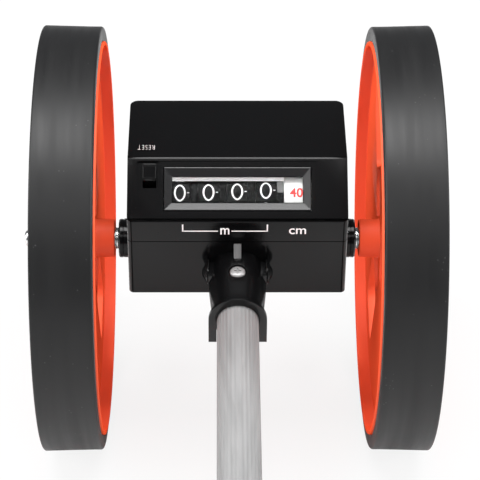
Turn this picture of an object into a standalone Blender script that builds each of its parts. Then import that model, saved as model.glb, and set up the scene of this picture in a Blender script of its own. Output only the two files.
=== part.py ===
"""Two-wheel measuring wheel with a drum counter and a folding, telescopic pole.

Everything is modelled in the tool's own frame: the axle lies along X through the origin,
the pole runs towards -Y and +Z is up from the pole.  An empty then tilts the whole tool so
that it stands on both wheels and on the end of its grip.
"""
import math

import bmesh
import bpy
from mathutils import Matrix, Vector

# Clearances, in metres
FIT = 0.0003
CUT_OVERRUN = 0.002
JOIN_OVERLAP = 0.0004

# Wheels and axle
WHEEL_CIRCUMFERENCE = 0.500
WHEEL_RADIUS = WHEEL_CIRCUMFERENCE / (2 * math.pi)
TYRE_WIDTH = 0.0222
TYRE_THICKNESS = 0.0056
TYRE_CHAMFER = 0.0010
TYRE_LIP = 0.0005
RIM_WALL = 0.0020
RIM_EDGE_SETBACK = 0.0004
WEB_RECESS = 0.0043
WEB_THICKNESS = 0.0040
HUB_DIAMETER = 0.0140
HUB_STANDOUT = 0.00345
WEB_SLOT_WIDTH = 0.0240
WEB_SLOT_INNER_RADIUS = 0.0270
WEB_SLOT_OUTER_RADIUS = 0.0620
WEB_SLOT_CORNER = 0.0040
WEB_SLOT_COUNT = 3
WEB_SLOT_FIRST_ANGLE = math.radians(50)
AXLE_DIAMETER = 0.0060
AXLE_STANDOUT = 0.0028
AXLE_CHAMFER = 0.0006
NUT_ACROSS_FLATS = 0.0100
NUT_THICKNESS = 0.0050
BUSH_FLANGE_DIAMETER = 0.0145
BUSH_SPIGOT_DIAMETER = 0.0105
BUSH_FLANGE_LENGTH = 0.0042
WASHER_DIAMETER = 0.0080
WASHER_THICKNESS = 0.00095
WHEEL_STEPS = 40
ROUND_STEPS = 16
SMALL_STEPS = 10

# Counter housing
HOUSING_SIDE_ROOM = 0.011325
REAR_WALL_OFFSET = 0.0214
FRONT_WALL_OFFSET = 0.0339
UNDERSIDE_DROP = 0.0084
REAR_WALL_TOP = 0.0255
HOUSING_TOP = 0.0391
WINDOW_FACE_DEPTH = 0.0205
HOUSING_EDGE_RADIUS = 0.0018
HOUSING_WALL = 0.0018
SEAM_HEIGHT = 0.0162
SEAM_GAP = 0.0003
POST_RADIUS = 0.0030
POST_TOP = 0.0235
POST_SIDE_INSET = 0.0042
POST_END_INSET = 0.0042
CASE_SCREW_RADIUS = 0.0011
CASE_SCREW_HEAD_RADIUS = 0.0021
CASE_SCREW_HEAD_HEIGHT = 0.0014
CASE_SCREW_TOP = 0.0220

# Display window and reset slider; places are measured down the sloped face from its top edge
BEZEL_SIDE_MARGIN = 0.001925
BEZEL_HEIGHT = 0.0162
BEZEL_TOP = 0.0040
BEZEL_BEVEL = 0.0030
BEZEL_DEPTH = 0.0012
BEZEL_LIP = 0.0006
BEZEL_PROUD = 0.0003
LENS_THICKNESS = 0.0008
LENS_OVERLAP = 0.0010
RECESS_SIDE_INSET = 0.0036
RECESS_WIDTH = 0.0076
RECESS_TOP = 0.0015
RECESS_LENGTH = 0.0119
RECESS_DEPTH = 0.0009
BUTTON_WIDTH = 0.0047
BUTTON_LENGTH = 0.0064
BUTTON_HEIGHT = 0.0026
BUTTON_TOP_GAP = 0.00155
BUTTON_SHIFT = 0.00065
BUTTON_TRAVEL = 0.0035
STEM_WIDTH = 0.0022
STEM_LENGTH = 0.0030
FORK_SIZE = 0.0062
FORK_WIDTH = 0.0036
FORK_DEPTH = 0.0115
FORK_SLOT_TOP = 0.0045
ARM_PIN_RADIUS = 0.0010
ARM_PIN_PLAY = 0.0005
ARM_PIN_DEPTH = 0.0060
ARM_THICKNESS = 0.0016
SPRING_RADIUS = 0.0016
SPRING_WIRE_RADIUS = 0.00025
SPRING_TURNS = 5
SPRING_DEPTH = 0.0085
SPRING_LENGTH = 0.0080
SPRING_POINTS_PER_TURN = 8
STOP_THICKNESS = 0.0016

# Drum counter
DRUM_COUNT = 5
DRUM_RADIUS = 0.0106
DRUM_PITCH = 0.01042
DRUM_WIDTH = 0.00767
DRUM_DEPTH_BELOW_FACE = 0.0028
DRUM_RIM = 0.0016
DRUM_WEB = 0.0030
DRUM_HUB_RADIUS = 0.0042
DRUM_STEPS = 20
DRUM_SHAFT_RADIUS = 0.0020
PINION_SHAFT_RADIUS = 0.0012
COUNTER_PLATE = 0.0014
PLATE_MARGIN = 0.0036
PLATE_LEG_GAP = 0.0016
SHAFT_END = 0.0005
GEAR_MODULE = 0.0006
AXLE_GEAR_TEETH = 15
IDLER_TEETH = 15
DRUM_GEAR_TEETH = 30
GEAR_WIDTH = 0.0020
IDLER_PIN_RADIUS = 0.0014
RING_MODULE = 0.00088
RING_TEETH = 20
PINION_TEETH = 8
RING_WIDTH = 0.0018
PINION_ANGLE = math.radians(-20)
BACKLASH = 0.00008
TOOTH_HEIGHT_SHARE = 0.78
TOOTH_ROOT_DEPTH_SHARE = 1.05
TOOTH_ROOT_HALF_SHARE = 0.27
TOOTH_TIP_HALF_SHARE = 0.10
ROCKER_DISTANCE = 0.0170
ROCKER_ANGLE = math.radians(18)
ROCKER_SHAFT_RADIUS = 0.0014
FINGER_REACH = 0.0064
FINGER_WIDTH = 0.0014
FINGER_HEIGHT = 0.0018
FINGER_REST_ANGLE = math.radians(172)

# Folding neck and its latch
POLE_RISE = 0.0016
PIVOT_OFFSET = 0.0260
PIVOT_RISE = 0.0055
PIVOT_PIN_RADIUS = 0.0015
KNUCKLE_RADIUS = 0.0043
LUG_BASE_GAP = 0.0003
LUG_THICKNESS = 0.0021
LUG_TIP_RADIUS = 0.0023
NECK_ROOT_RADIUS = 0.0105
NECK_END_RADIUS = 0.0090
NECK_END = 0.0485
NECK_FLANGE_RADIUS = 0.0105
NECK_FLANGE_LENGTH = 0.0016
NECK_LEG_DROP = 0.0084
BULKHEAD_START = 0.0408
BULKHEAD_LENGTH = 0.0027
SPIGOT_LENGTH = 0.0330
LATCH_WIDTH = 0.0027
LATCH_THICKNESS = 0.0005
LATCH_RISE = 0.0100
LATCH_TAIL = 0.0028
LATCH_OPEN_LENGTH = 0.0057
LATCH_TUNNEL_ROOF = 0.0009
NECK_SCREW_OFFSET = 0.0334
NECK_SCREW_HEAD_RADIUS = 0.00305
NECK_SCREW_HEAD_HEIGHT = 0.0016
NECK_SCREW_RADIUS = 0.0013
NECK_SCREW_LENGTH = 0.0065

# Telescopic pole
LOWER_TUBE_RADIUS = 0.0075
TUBE_WALL = 0.0010
FLUTE_COUNT = 30
FLUTE_DEPTH = 0.00025
LOWER_TUBE_LENGTH = 0.3300
MIDDLE_TUBE_START = 0.1550
MIDDLE_TUBE_END_GAP = 0.0120
UPPER_TUBE_START = 0.2000
UPPER_TUBE_LENGTH = 0.2900
COLLET_WALL = 0.0018
COLLET_LENGTH = 0.0110
COLLAR_WALL = 0.0022
COLLAR_LIP = 0.0016
COLLAR_GRIP_LENGTH = 0.0220
COLLAR_CHAMFER = 0.0008
GRIP_LENGTH = 0.1150
GRIP_RADIUS = 0.0136
GRIP_WAIST = 0.0010
CAP_RADIUS = 0.0148
CAP_THICKNESS = 0.0080
CAP_CHAMFER = 0.0016
CAP_PLUG_LENGTH = 0.0180
TUBE_STEPS = 24

RIGHT, LEFT = 1, -1
ROUNDED_SHELLS = ("lower_shell", "upper_cover")
ALONG_POLE = Matrix(((0, 1, 0, 0), (-1, 0, 0, 0), (0, 0, 1, 0), (0, 0, 0, 1)))
UPRIGHT = Matrix(((0, 0, -1, 0), (0, 1, 0, 0), (1, 0, 0, 0), (0, 0, 0, 1)))

FINISHES = {
    "tyre_rubber": ((0.035, 0.035, 0.037), 0.62, 0.0),
    "wheel_red": ((0.80, 0.075, 0.035), 0.38, 0.0),
    "steel": ((0.62, 0.62, 0.63), 0.28, 1.0),
    "housing_black": ((0.022, 0.022, 0.024), 0.30, 0.0),
    "bezel_black": ((0.030, 0.030, 0.032), 0.34, 0.0),
    "clear_lens": ((0.85, 0.88, 0.90), 0.05, 0.0),
    "drum_black": ((0.020, 0.020, 0.022), 0.42, 0.0),
    "drum_white": ((0.86, 0.86, 0.84), 0.42, 0.0),
    "gear_white": ((0.74, 0.74, 0.70), 0.45, 0.0),
    "plate_grey": ((0.35, 0.35, 0.36), 0.45, 0.0),
    "aluminium": ((0.72, 0.72, 0.73), 0.30, 1.0),
    "collar_black": ((0.028, 0.028, 0.030), 0.46, 0.0),
    "grip_rubber": ((0.020, 0.020, 0.021), 0.75, 0.0),
}


def clear_scene():
    """Start from an empty scene."""
    for thing in list(bpy.data.objects):
        bpy.data.objects.remove(thing, do_unlink=True)


def finish_material(name):
    """One Principled material per finish, made once."""
    material = bpy.data.materials.get(name)
    if material:
        return material
    colour, roughness, metallic = FINISHES[name]
    material = bpy.data.materials.new(name)
    material.use_nodes = True
    shader = material.node_tree.nodes["Principled BSDF"]
    shader.inputs["Base Color"].default_value = (*colour, 1.0)
    shader.inputs["Roughness"].default_value = roughness
    shader.inputs["Metallic"].default_value = metallic
    material.diffuse_color = (*colour, 1.0)
    return material


def empty(name, parent, location=(0, 0, 0)):
    """An empty that carries the pieces of one moving group."""
    carrier = bpy.data.objects.new(name, None)
    bpy.context.scene.collection.objects.link(carrier)
    carrier.parent = parent
    carrier.location = location
    return carrier


def piece(name, form, finish, parent):
    """Put a finished mesh, given in the tool's frame, under its carrier."""
    body = bpy.data.objects.new(name, form)
    bpy.context.scene.collection.objects.link(body)
    body.data.materials.append(finish_material(finish))
    body.parent = parent
    offset = carrier_place(parent)
    form.transform(Matrix.Translation(-offset))
    return body


def carrier_place(carrier):
    """Where a carrier stands in the tool's frame."""
    place = Vector((0, 0, 0))
    while carrier.parent:
        place += carrier.location
        carrier = carrier.parent
    return place


def shape_with(body, form, operation):
    """Cut a form from a piece, or join it on, with a Boolean."""
    tool = bpy.data.objects.new(f"{body.name}_tool_{len(body.modifiers) + 1}", form)
    bpy.context.scene.collection.objects.link(tool)
    tool.parent = body.parent
    form.transform(Matrix.Translation(-carrier_place(body.parent)))
    tool.hide_render = True
    tool.display_type = "WIRE"
    modifier = body.modifiers.new(tool.name, "BOOLEAN")
    modifier.operation = operation
    modifier.solver = "MANIFOLD" if body.name in ROUNDED_SHELLS else "EXACT"
    modifier.object = tool


def cut(body, form):
    shape_with(body, form, "DIFFERENCE")


def join(body, form):
    shape_with(body, form, "UNION")


def mesh_from(name, shape, matrix=None):
    """Close a bmesh, face it outwards and return it as mesh data."""
    bmesh.ops.recalc_face_normals(shape, faces=shape.faces)
    if matrix is not None:
        shape.transform(matrix)
    form = bpy.data.meshes.new(name)
    shape.to_mesh(form)
    shape.free()
    return form


def turned(name, outline, steps=ROUND_STEPS, matrix=None, first_angle=0.0):
    """Turn a closed outline of (along, radius) points about X."""
    shape = bmesh.new()
    rings = []
    for along, radius in outline:
        if radius == 0:
            rings.append([shape.verts.new((along, 0, 0))])
            continue
        angles = [first_angle + 2 * math.pi * step / steps for step in range(steps)]
        rings.append([shape.verts.new((along, radius * math.cos(a), radius * math.sin(a))) for a in angles])
    for ring, following in zip(rings, rings[1:] + rings[:1]):
        bridge(shape, ring, following)
    return mesh_from(name, shape, matrix)


def bridge(shape, ring, following):
    """Faces between two rings, either of which may be a single point on the axis."""
    if len(ring) == 1 and len(following) == 1:
        return
    count = max(len(ring), len(following))
    for step in range(count):
        after = (step + 1) % count
        if len(ring) == 1:
            shape.faces.new((ring[0], following[step], following[after]))
        elif len(following) == 1:
            shape.faces.new((ring[step], following[0], ring[after]))
        else:
            shape.faces.new((ring[step], following[step], following[after], ring[after]))


def loft(name, sections):
    """Closed form through sections that have the same number of points."""
    shape = bmesh.new()
    rings = [[shape.verts.new(point) for point in section] for section in sections]
    for ring, following in zip(rings, rings[1:]):
        bridge(shape, ring, following)
    shape.faces.new(rings[0])
    shape.faces.new(rings[-1])
    return mesh_from(name, shape)


def prism(name, outline, start, stop, matrix=None):
    """Extrude a closed (y, z) outline along X from start to stop."""
    shape = bmesh.new()
    near = [shape.verts.new((start, y, z)) for y, z in outline]
    far = [shape.verts.new((stop, y, z)) for y, z in outline]
    bridge(shape, near, far)
    shape.faces.new(near)
    shape.faces.new(far)
    return mesh_from(name, shape, matrix)


def block(name, low, high, matrix=None):
    """A box between two opposite corners."""
    outline = [(low[1], low[2]), (high[1], low[2]), (high[1], high[2]), (low[1], high[2])]
    return prism(name, outline, low[0], high[0], matrix)


def rod(name, start, stop, radius, centre=(0, 0), steps=ROUND_STEPS):
    """A plain cylinder along X at a (y, z) centre."""
    place = Matrix.Translation((0, centre[0], centre[1]))
    return turned(name, [(start, 0), (start, radius), (stop, radius), (stop, 0)], steps, place)


def sleeve(name, start, stop, bore, radius, steps=ROUND_STEPS, matrix=None):
    """A plain tube along X."""
    return turned(name, [(start, bore), (start, radius), (stop, radius), (stop, bore)], steps, matrix)


def arc(centre, radius, start_degrees, stop_degrees, steps):
    """Points along an arc in the (y, z) plane."""
    points = []
    for step in range(steps + 1):
        angle = math.radians(start_degrees + (stop_degrees - start_degrees) * step / steps)
        points.append((centre[0] + radius * math.cos(angle), centre[1] + radius * math.sin(angle)))
    return points


def polar(centre, distance, angle):
    return (centre[0] + distance * math.cos(angle), centre[1] + distance * math.sin(angle))


def inset(outline, distance):
    """Move every side of a convex anticlockwise outline inwards."""
    points = []
    for index, corner in enumerate(outline):
        before = Vector(corner) - Vector(outline[index - 1])
        after = Vector(outline[(index + 1) % len(outline)]) - Vector(corner)
        normal_before = Vector((-before.y, before.x)).normalized()
        normal_after = Vector((-after.y, after.x)).normalized()
        middle = (normal_before + normal_after).normalized()
        shift = middle * (distance / middle.dot(normal_after))
        points.append((corner[0] + shift.x, corner[1] + shift.y))
    return points


# Places worked out from the sizes above
DRUM_PLACES = [(number - (DRUM_COUNT - 1) / 2) * DRUM_PITCH for number in range(DRUM_COUNT)]
GEAR_START = DRUM_PLACES[-1] + DRUM_WIDTH / 2
PLATE_INNER = GEAR_START + FIT + GEAR_WIDTH + FIT
SHAFT_REACH = PLATE_INNER + COUNTER_PLATE + SHAFT_END
HALF_WIDTH = PLATE_INNER + COUNTER_PLATE + HOUSING_SIDE_ROOM
BEZEL_WIDTH = 2 * (GEAR_START + BEZEL_SIDE_MARGIN)
RECESS_LEFT = RECESS_SIDE_INSET - HALF_WIDTH
BUSH_END = HALF_WIDTH + BUSH_FLANGE_LENGTH
HUB_INNER_END = BUSH_END + FIT + WASHER_THICKNESS + FIT
WHEEL_INNER_FACE = HUB_INNER_END + HUB_STANDOUT
WHEEL_OUTER_FACE = WHEEL_INNER_FACE + TYRE_WIDTH
AXLE_HALF_LENGTH = WHEEL_OUTER_FACE + FIT + NUT_THICKNESS + AXLE_STANDOUT
WINDOW_TOP_CORNER = Vector((0, -REAR_WALL_OFFSET + WINDOW_FACE_DEPTH, HOUSING_TOP))
WINDOW_LOW_CORNER = Vector((0, -REAR_WALL_OFFSET, REAR_WALL_TOP))
FACE_DOWN = (WINDOW_LOW_CORNER - WINDOW_TOP_CORNER).normalized()
FACE_OUT = Vector((0, FACE_DOWN.z, -FACE_DOWN.y))
TYRE_BORE = WHEEL_RADIUS - TYRE_THICKNESS
RIM_RADIUS = TYRE_BORE - FIT
AXLE_RADIUS = AXLE_DIAMETER / 2
AXLE_BORE = AXLE_RADIUS + FIT
WINDOW_MIDDLE = BEZEL_TOP + BEZEL_HEIGHT / 2
DRUM_AXIS_DEPTH = DRUM_DEPTH_BELOW_FACE + DRUM_RADIUS
BUTTON_TOP = RECESS_TOP + BUTTON_TOP_GAP
BUTTON_CENTRE_X = RECESS_LEFT + RECESS_WIDTH / 2 + BUTTON_SHIFT
NECK_ROOT = REAR_WALL_OFFSET + FIT
MIDDLE_TUBE_RADIUS = LOWER_TUBE_RADIUS + FIT + TUBE_WALL
UPPER_TUBE_RADIUS = MIDDLE_TUBE_RADIUS + FIT + TUBE_WALL
LOWER_TUBE_START = BULKHEAD_START + BULKHEAD_LENGTH + FIT
GRIP_END = UPPER_TUBE_START + UPPER_TUBE_LENGTH
MIDDLE_TUBE_END = GRIP_END - CAP_PLUG_LENGTH - MIDDLE_TUBE_END_GAP
POLE_END = GRIP_END + FIT + CAP_THICKNESS
PIVOT = (-PIVOT_OFFSET, PIVOT_RISE)


def on_face(down, depth=0.0):
    """The (y, z) place at a distance down the window face and a depth under it."""
    place = WINDOW_TOP_CORNER + FACE_DOWN * down - FACE_OUT * depth
    return (place.y, place.z)


def face_frame():
    """Local X across, local Y down the window face, local Z out of it."""
    axes = Matrix((Vector((-1, 0, 0)), FACE_DOWN, FACE_OUT)).transposed()
    return Matrix.Translation(WINDOW_TOP_CORNER) @ axes.to_4x4()


DRUM_AXIS = on_face(WINDOW_MIDDLE, DRUM_AXIS_DEPTH)
PINION_DISTANCE = RING_MODULE * (RING_TEETH + PINION_TEETH) / 2 + BACKLASH
PINION_AXIS = polar(DRUM_AXIS, PINION_DISTANCE, PINION_ANGLE)
ROCKER_AXIS = polar(DRUM_AXIS, ROCKER_DISTANCE, ROCKER_ANGLE)
ARM_PIN = on_face(BUTTON_TOP + BUTTON_LENGTH / 2, ARM_PIN_DEPTH)


def idler_axis():
    """Where the idler meshes with both the axle gear and the drum gear."""
    to_axle = GEAR_MODULE * (AXLE_GEAR_TEETH + IDLER_TEETH) / 2 + BACKLASH
    to_drum = GEAR_MODULE * (IDLER_TEETH + DRUM_GEAR_TEETH) / 2 + BACKLASH
    drum = Vector(DRUM_AXIS)
    apart = drum.length
    along = (to_axle ** 2 - to_drum ** 2 + apart ** 2) / (2 * apart)
    aside = math.sqrt(to_axle ** 2 - along ** 2)
    direction = drum / apart
    return (direction.x * along + direction.y * aside, direction.y * along - direction.x * aside)


IDLER_AXIS = idler_axis()


def housing_outline():
    """Side view of the housing, anticlockwise from the lower rear corner."""
    return [
        (-REAR_WALL_OFFSET, -UNDERSIDE_DROP),
        (FRONT_WALL_OFFSET, -UNDERSIDE_DROP),
        (FRONT_WALL_OFFSET, HOUSING_TOP),
        (WINDOW_TOP_CORNER.y, HOUSING_TOP),
        (-REAR_WALL_OFFSET, REAR_WALL_TOP),
    ]


def rest_tilt():
    """Pole angle below the horizontal with the wheels and the cap's rim on the floor."""
    along = POLE_END - CAP_CHAMFER
    below = CAP_RADIUS - POLE_RISE
    return math.asin(WHEEL_RADIUS / math.hypot(along, below)) - math.atan2(below, along)


def set_down(tool):
    """Stand the tool on its wheels and its end cap, with the origin under the middle of its box."""
    tilt = rest_tilt()
    back = POLE_END * math.cos(tilt) + (POLE_RISE + CAP_RADIUS - CAP_CHAMFER) * math.sin(tilt)
    tool.location = (0, (back - WHEEL_RADIUS) / 2, WHEEL_RADIUS)
    tool.rotation_euler = (tilt, 0, 0)


def finish_shapes():
    """Work every cut and joined form into its piece, then drop the tools that made them."""
    bpy.context.view_layer.update()
    graph = bpy.context.evaluated_depsgraph_get()
    shaped = [thing for thing in bpy.data.objects if thing.type == "MESH" and not thing.hide_render]
    forms = [bpy.data.meshes.new_from_object(thing.evaluated_get(graph)) for thing in shaped]
    for thing, form in zip(shaped, forms):
        thing.modifiers.clear()
        thing.data = form
        form.shade_smooth()
        form.set_sharp_from_angle(angle=math.radians(32))
    for thing in [thing for thing in bpy.data.objects if thing.hide_render]:
        bpy.data.objects.remove(thing, do_unlink=True)


def gear_outline(teeth, module, phase, centre):
    """Straight-sided teeth round a centre, the first one pointing along the phase angle."""
    pitch_radius = module * teeth / 2
    tip = pitch_radius + module * TOOTH_HEIGHT_SHARE
    root = pitch_radius - module * TOOTH_ROOT_DEPTH_SHARE
    pitch = 2 * math.pi / teeth
    points = []
    for tooth in range(teeth):
        middle = phase + tooth * pitch
        points.append(polar(centre, root, middle - pitch * TOOTH_ROOT_HALF_SHARE))
        points.append(polar(centre, tip, middle - pitch * TOOTH_TIP_HALF_SHARE))
        points.append(polar(centre, tip, middle + pitch * TOOTH_TIP_HALF_SHARE))
        points.append(polar(centre, root, middle + pitch * TOOTH_ROOT_HALF_SHARE))
    return points


def meshed_phase(driver_axis, driver_teeth, driver_phase, axis, teeth):
    """Phase that puts a gap of this gear where the driver has a tooth."""
    towards = math.atan2(axis[1] - driver_axis[1], axis[0] - driver_axis[0])
    driver_pitch = 2 * math.pi / driver_teeth
    ahead = (driver_phase - towards) % driver_pitch
    return towards + math.pi - ahead * driver_teeth / teeth + math.pi / teeth


def gear(name, outline, centre, span, bore, finish, parent):
    """A toothed wheel with a plain bore."""
    body = piece(name, prism(name, outline, span[0], span[1]), finish, parent)
    cut(body, rod("bore", span[0] - CUT_OVERRUN, span[1] + CUT_OVERRUN, bore, centre, SMALL_STEPS))
    return body


def mirrored(outline, side):
    """The same turned outline on the left or right of the tool."""
    return [(side * along, radius) for along, radius in outline]


def make_tyre(name, side, parent, bottom_angle):
    lip_end = WHEEL_OUTER_FACE - TYRE_CHAMFER * 2
    outline = [
        (WHEEL_INNER_FACE, TYRE_BORE),
        (WHEEL_INNER_FACE, WHEEL_RADIUS - TYRE_CHAMFER),
        (WHEEL_INNER_FACE + TYRE_CHAMFER, WHEEL_RADIUS - TYRE_LIP),
        (lip_end - TYRE_CHAMFER, WHEEL_RADIUS - TYRE_LIP),
        (lip_end, WHEEL_RADIUS),
        (WHEEL_OUTER_FACE - TYRE_CHAMFER, WHEEL_RADIUS),
        (WHEEL_OUTER_FACE, WHEEL_RADIUS - TYRE_CHAMFER),
        (WHEEL_OUTER_FACE, TYRE_BORE),
    ]
    form = turned(name, mirrored(outline, side), WHEEL_STEPS, first_angle=bottom_angle)
    return piece(name, form, "tyre_rubber", parent)


def make_rim(name, side, parent, bottom_angle):
    """Rim band, recessed web and hub, turned in one and then slotted."""
    inner_edge = WHEEL_INNER_FACE + RIM_EDGE_SETBACK
    outer_edge = WHEEL_OUTER_FACE - RIM_EDGE_SETBACK
    web_inner = WHEEL_INNER_FACE + WEB_RECESS
    web_outer = web_inner + WEB_THICKNESS
    band_bore = RIM_RADIUS - RIM_WALL
    hub_radius = HUB_DIAMETER / 2
    outline = [
        (inner_edge, RIM_RADIUS),
        (outer_edge, RIM_RADIUS),
        (outer_edge, band_bore),
        (web_outer, band_bore),
        (web_outer, hub_radius),
        (outer_edge, hub_radius),
        (outer_edge, AXLE_BORE),
        (HUB_INNER_END, AXLE_BORE),
        (HUB_INNER_END, hub_radius),
        (web_inner, hub_radius),
        (web_inner, band_bore),
        (inner_edge, band_bore),
    ]
    form = turned(name, mirrored(outline, side), WHEEL_STEPS, first_angle=bottom_angle)
    body = piece(name, form, "wheel_red", parent)
    for number in range(WEB_SLOT_COUNT):
        turn = WEB_SLOT_FIRST_ANGLE + 2 * math.pi * number / WEB_SLOT_COUNT
        spin = Matrix.Rotation(turn, 4, "X")
        low = side * web_inner - CUT_OVERRUN
        high = side * web_outer + CUT_OVERRUN
        if side == LEFT:
            low, high = -web_outer - CUT_OVERRUN, -web_inner + CUT_OVERRUN
        cut(body, prism("slot", slot_outline(), low, high, spin))
    return body


def slot_outline():
    """Round-cornered radial slot, along the first axis."""
    half = WEB_SLOT_WIDTH / 2 - WEB_SLOT_CORNER
    near = WEB_SLOT_INNER_RADIUS + WEB_SLOT_CORNER
    far = WEB_SLOT_OUTER_RADIUS - WEB_SLOT_CORNER
    corners = [((far, half), 0), ((near, half), 90), ((near, -half), 180), ((far, -half), 270)]
    points = []
    for centre, start in corners:
        points += arc(centre, WEB_SLOT_CORNER, start, start + 90, 3)
    return points


def make_wheel_set(tool):
    """Everything that turns with the axle."""
    spin = empty("wheel_axis", tool)
    bottom_angle = -math.pi / 2 - rest_tilt()
    for side, word in ((RIGHT, "right"), (LEFT, "left")):
        make_tyre(f"{word}_tyre", side, spin, bottom_angle)
        make_rim(f"{word}_rim", side, spin, bottom_angle)
        make_nut(f"{word}_axle_nut", side, spin)
        washer_start = BUSH_END + FIT
        washer = sleeve("washer", side * washer_start, side * (HUB_INNER_END - FIT), AXLE_BORE, WASHER_DIAMETER / 2)
        piece(f"{word}_thrust_washer", washer, "steel", spin)
    shaft = [
        (-AXLE_HALF_LENGTH, 0),
        (-AXLE_HALF_LENGTH, AXLE_RADIUS - AXLE_CHAMFER),
        (-AXLE_HALF_LENGTH + AXLE_CHAMFER, AXLE_RADIUS),
        (AXLE_HALF_LENGTH - AXLE_CHAMFER, AXLE_RADIUS),
        (AXLE_HALF_LENGTH, AXLE_RADIUS - AXLE_CHAMFER),
        (AXLE_HALF_LENGTH, 0),
    ]
    piece("axle", turned("axle", shaft, ROUND_STEPS), "steel", spin)
    towards = math.atan2(IDLER_AXIS[1], IDLER_AXIS[0])
    outline = gear_outline(AXLE_GEAR_TEETH, GEAR_MODULE, towards, (0, 0))
    gear("axle_gear", outline, (0, 0), (GEAR_START + FIT, GEAR_START + FIT + GEAR_WIDTH),
         AXLE_BORE, "gear_white", spin)


def make_nut(name, side, parent):
    """Hexagon nut that holds the wheel on the axle."""
    corner = NUT_ACROSS_FLATS / math.sqrt(3)
    start = WHEEL_OUTER_FACE + FIT
    span = sorted((side * start, side * (start + NUT_THICKNESS)))
    body = piece(name, prism(name, arc((0, 0), corner, 0, 300, 5), *span), "steel", parent)
    cut(body, rod("bore", span[0] - CUT_OVERRUN, span[1] + CUT_OVERRUN, AXLE_BORE))


def make_bush(name, side, tool):
    """Flanged bush that carries the axle in the housing's side wall."""
    inside = HALF_WIDTH - HOUSING_WALL
    seat = HALF_WIDTH + FIT
    outline = [
        (inside, AXLE_BORE),
        (inside, BUSH_SPIGOT_DIAMETER / 2),
        (seat, BUSH_SPIGOT_DIAMETER / 2),
        (seat, BUSH_FLANGE_DIAMETER / 2),
        (BUSH_END, BUSH_FLANGE_DIAMETER / 2),
        (BUSH_END, AXLE_BORE),
    ]
    piece(name, turned(name, mirrored(outline, side)), "housing_black", tool)


def housing_form(name):
    """Outside of the housing with its edges rounded off."""
    return prism(name, housing_outline(), -HALF_WIDTH, HALF_WIDTH)


def half_housing(name, tool, keep_below):
    """One half of the hollow housing, parted at the seam."""
    body = piece(name, housing_form(name), "housing_black", tool)
    rounding = body.modifiers.new("rounded_edges", "BEVEL")
    rounding.width = HOUSING_EDGE_RADIUS
    rounding.segments = 2
    rounding.limit_method = "ANGLE"
    inner = inset(housing_outline(), HOUSING_WALL)
    half = HALF_WIDTH - HOUSING_WALL
    cut(body, prism("cavity", inner, -half, half))
    reach = HALF_WIDTH + CUT_OVERRUN
    front = FRONT_WALL_OFFSET + CUT_OVERRUN
    rear = -REAR_WALL_OFFSET - CUT_OVERRUN
    if keep_below:
        parting = SEAM_HEIGHT - SEAM_GAP / 2
        cut(body, block("parting", (-reach, rear, parting), (reach, front, HOUSING_TOP + CUT_OVERRUN)))
    else:
        parting = SEAM_HEIGHT + SEAM_GAP / 2
        cut(body, block("parting", (-reach, rear, -UNDERSIDE_DROP - CUT_OVERRUN), (reach, front, parting)))
    return body


def post_places():
    """The four corners where case screws hold the halves together."""
    side = HALF_WIDTH - POST_SIDE_INSET
    return [(x, y) for x in (-side, side)
            for y in (-REAR_WALL_OFFSET + POST_END_INSET, FRONT_WALL_OFFSET - POST_END_INSET)]


def upright_rod(x, y, low, high, radius, steps=SMALL_STEPS):
    place = Matrix.Translation((x, y, 0)) @ UPRIGHT
    return turned("upright", [(low, 0), (low, radius), (high, radius), (high, 0)], steps, place)


def make_lower_shell(tool):
    shell = half_housing("lower_shell", tool, True)
    floor = -UNDERSIDE_DROP
    for x, y in post_places():
        join(shell, upright_rod(x, y, floor + HOUSING_WALL / 2, SEAM_HEIGHT - SEAM_GAP, POST_RADIUS))
    for side in (RIGHT, LEFT):
        add_pivot_lug(shell, side)
    for x, y in post_places():
        cut(shell, upright_rod(x, y, floor - CUT_OVERRUN, SEAM_HEIGHT + CUT_OVERRUN, CASE_SCREW_RADIUS + FIT))
        head_seat = floor + CASE_SCREW_HEAD_HEIGHT + FIT
        cut(shell, upright_rod(x, y, floor - CUT_OVERRUN, head_seat, CASE_SCREW_HEAD_RADIUS + FIT))
    reach = HALF_WIDTH + CUT_OVERRUN
    cut(shell, rod("axle_holes", -reach, reach, BUSH_SPIGOT_DIAMETER / 2 + FIT))
    pin_reach = NECK_ROOT_RADIUS + LUG_BASE_GAP + LUG_THICKNESS + CUT_OVERRUN
    cut(shell, rod("pin_hole", -pin_reach, pin_reach, PIVOT_PIN_RADIUS + FIT, PIVOT, SMALL_STEPS))


def add_pivot_lug(shell, side):
    """Cone-shaped ear on the rear wall that holds one end of the fold pin."""
    start = NECK_ROOT_RADIUS + LUG_BASE_GAP
    stop = start + LUG_THICKNESS
    place = Matrix.Translation((0, PIVOT[0], PIVOT[1]))
    outline = [(start, 0), (start, KNUCKLE_RADIUS), (stop, LUG_TIP_RADIUS), (stop, 0)]
    join(shell, turned("lug", mirrored(outline, side), ROUND_STEPS, place))
    middle = (start + stop) / 2
    span = sorted((side * (start + JOIN_OVERLAP), side * middle))
    foot = KNUCKLE_RADIUS * (1 + LUG_TIP_RADIUS / KNUCKLE_RADIUS) / 2
    web = [
        (-REAR_WALL_OFFSET + HOUSING_WALL / 2, PIVOT_RISE - KNUCKLE_RADIUS),
        (-REAR_WALL_OFFSET + HOUSING_WALL / 2, PIVOT_RISE + KNUCKLE_RADIUS),
        (PIVOT[0], PIVOT_RISE + foot),
        (PIVOT[0], PIVOT_RISE - foot),
    ]
    join(shell, prism("lug_web", web, *span))


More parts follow.
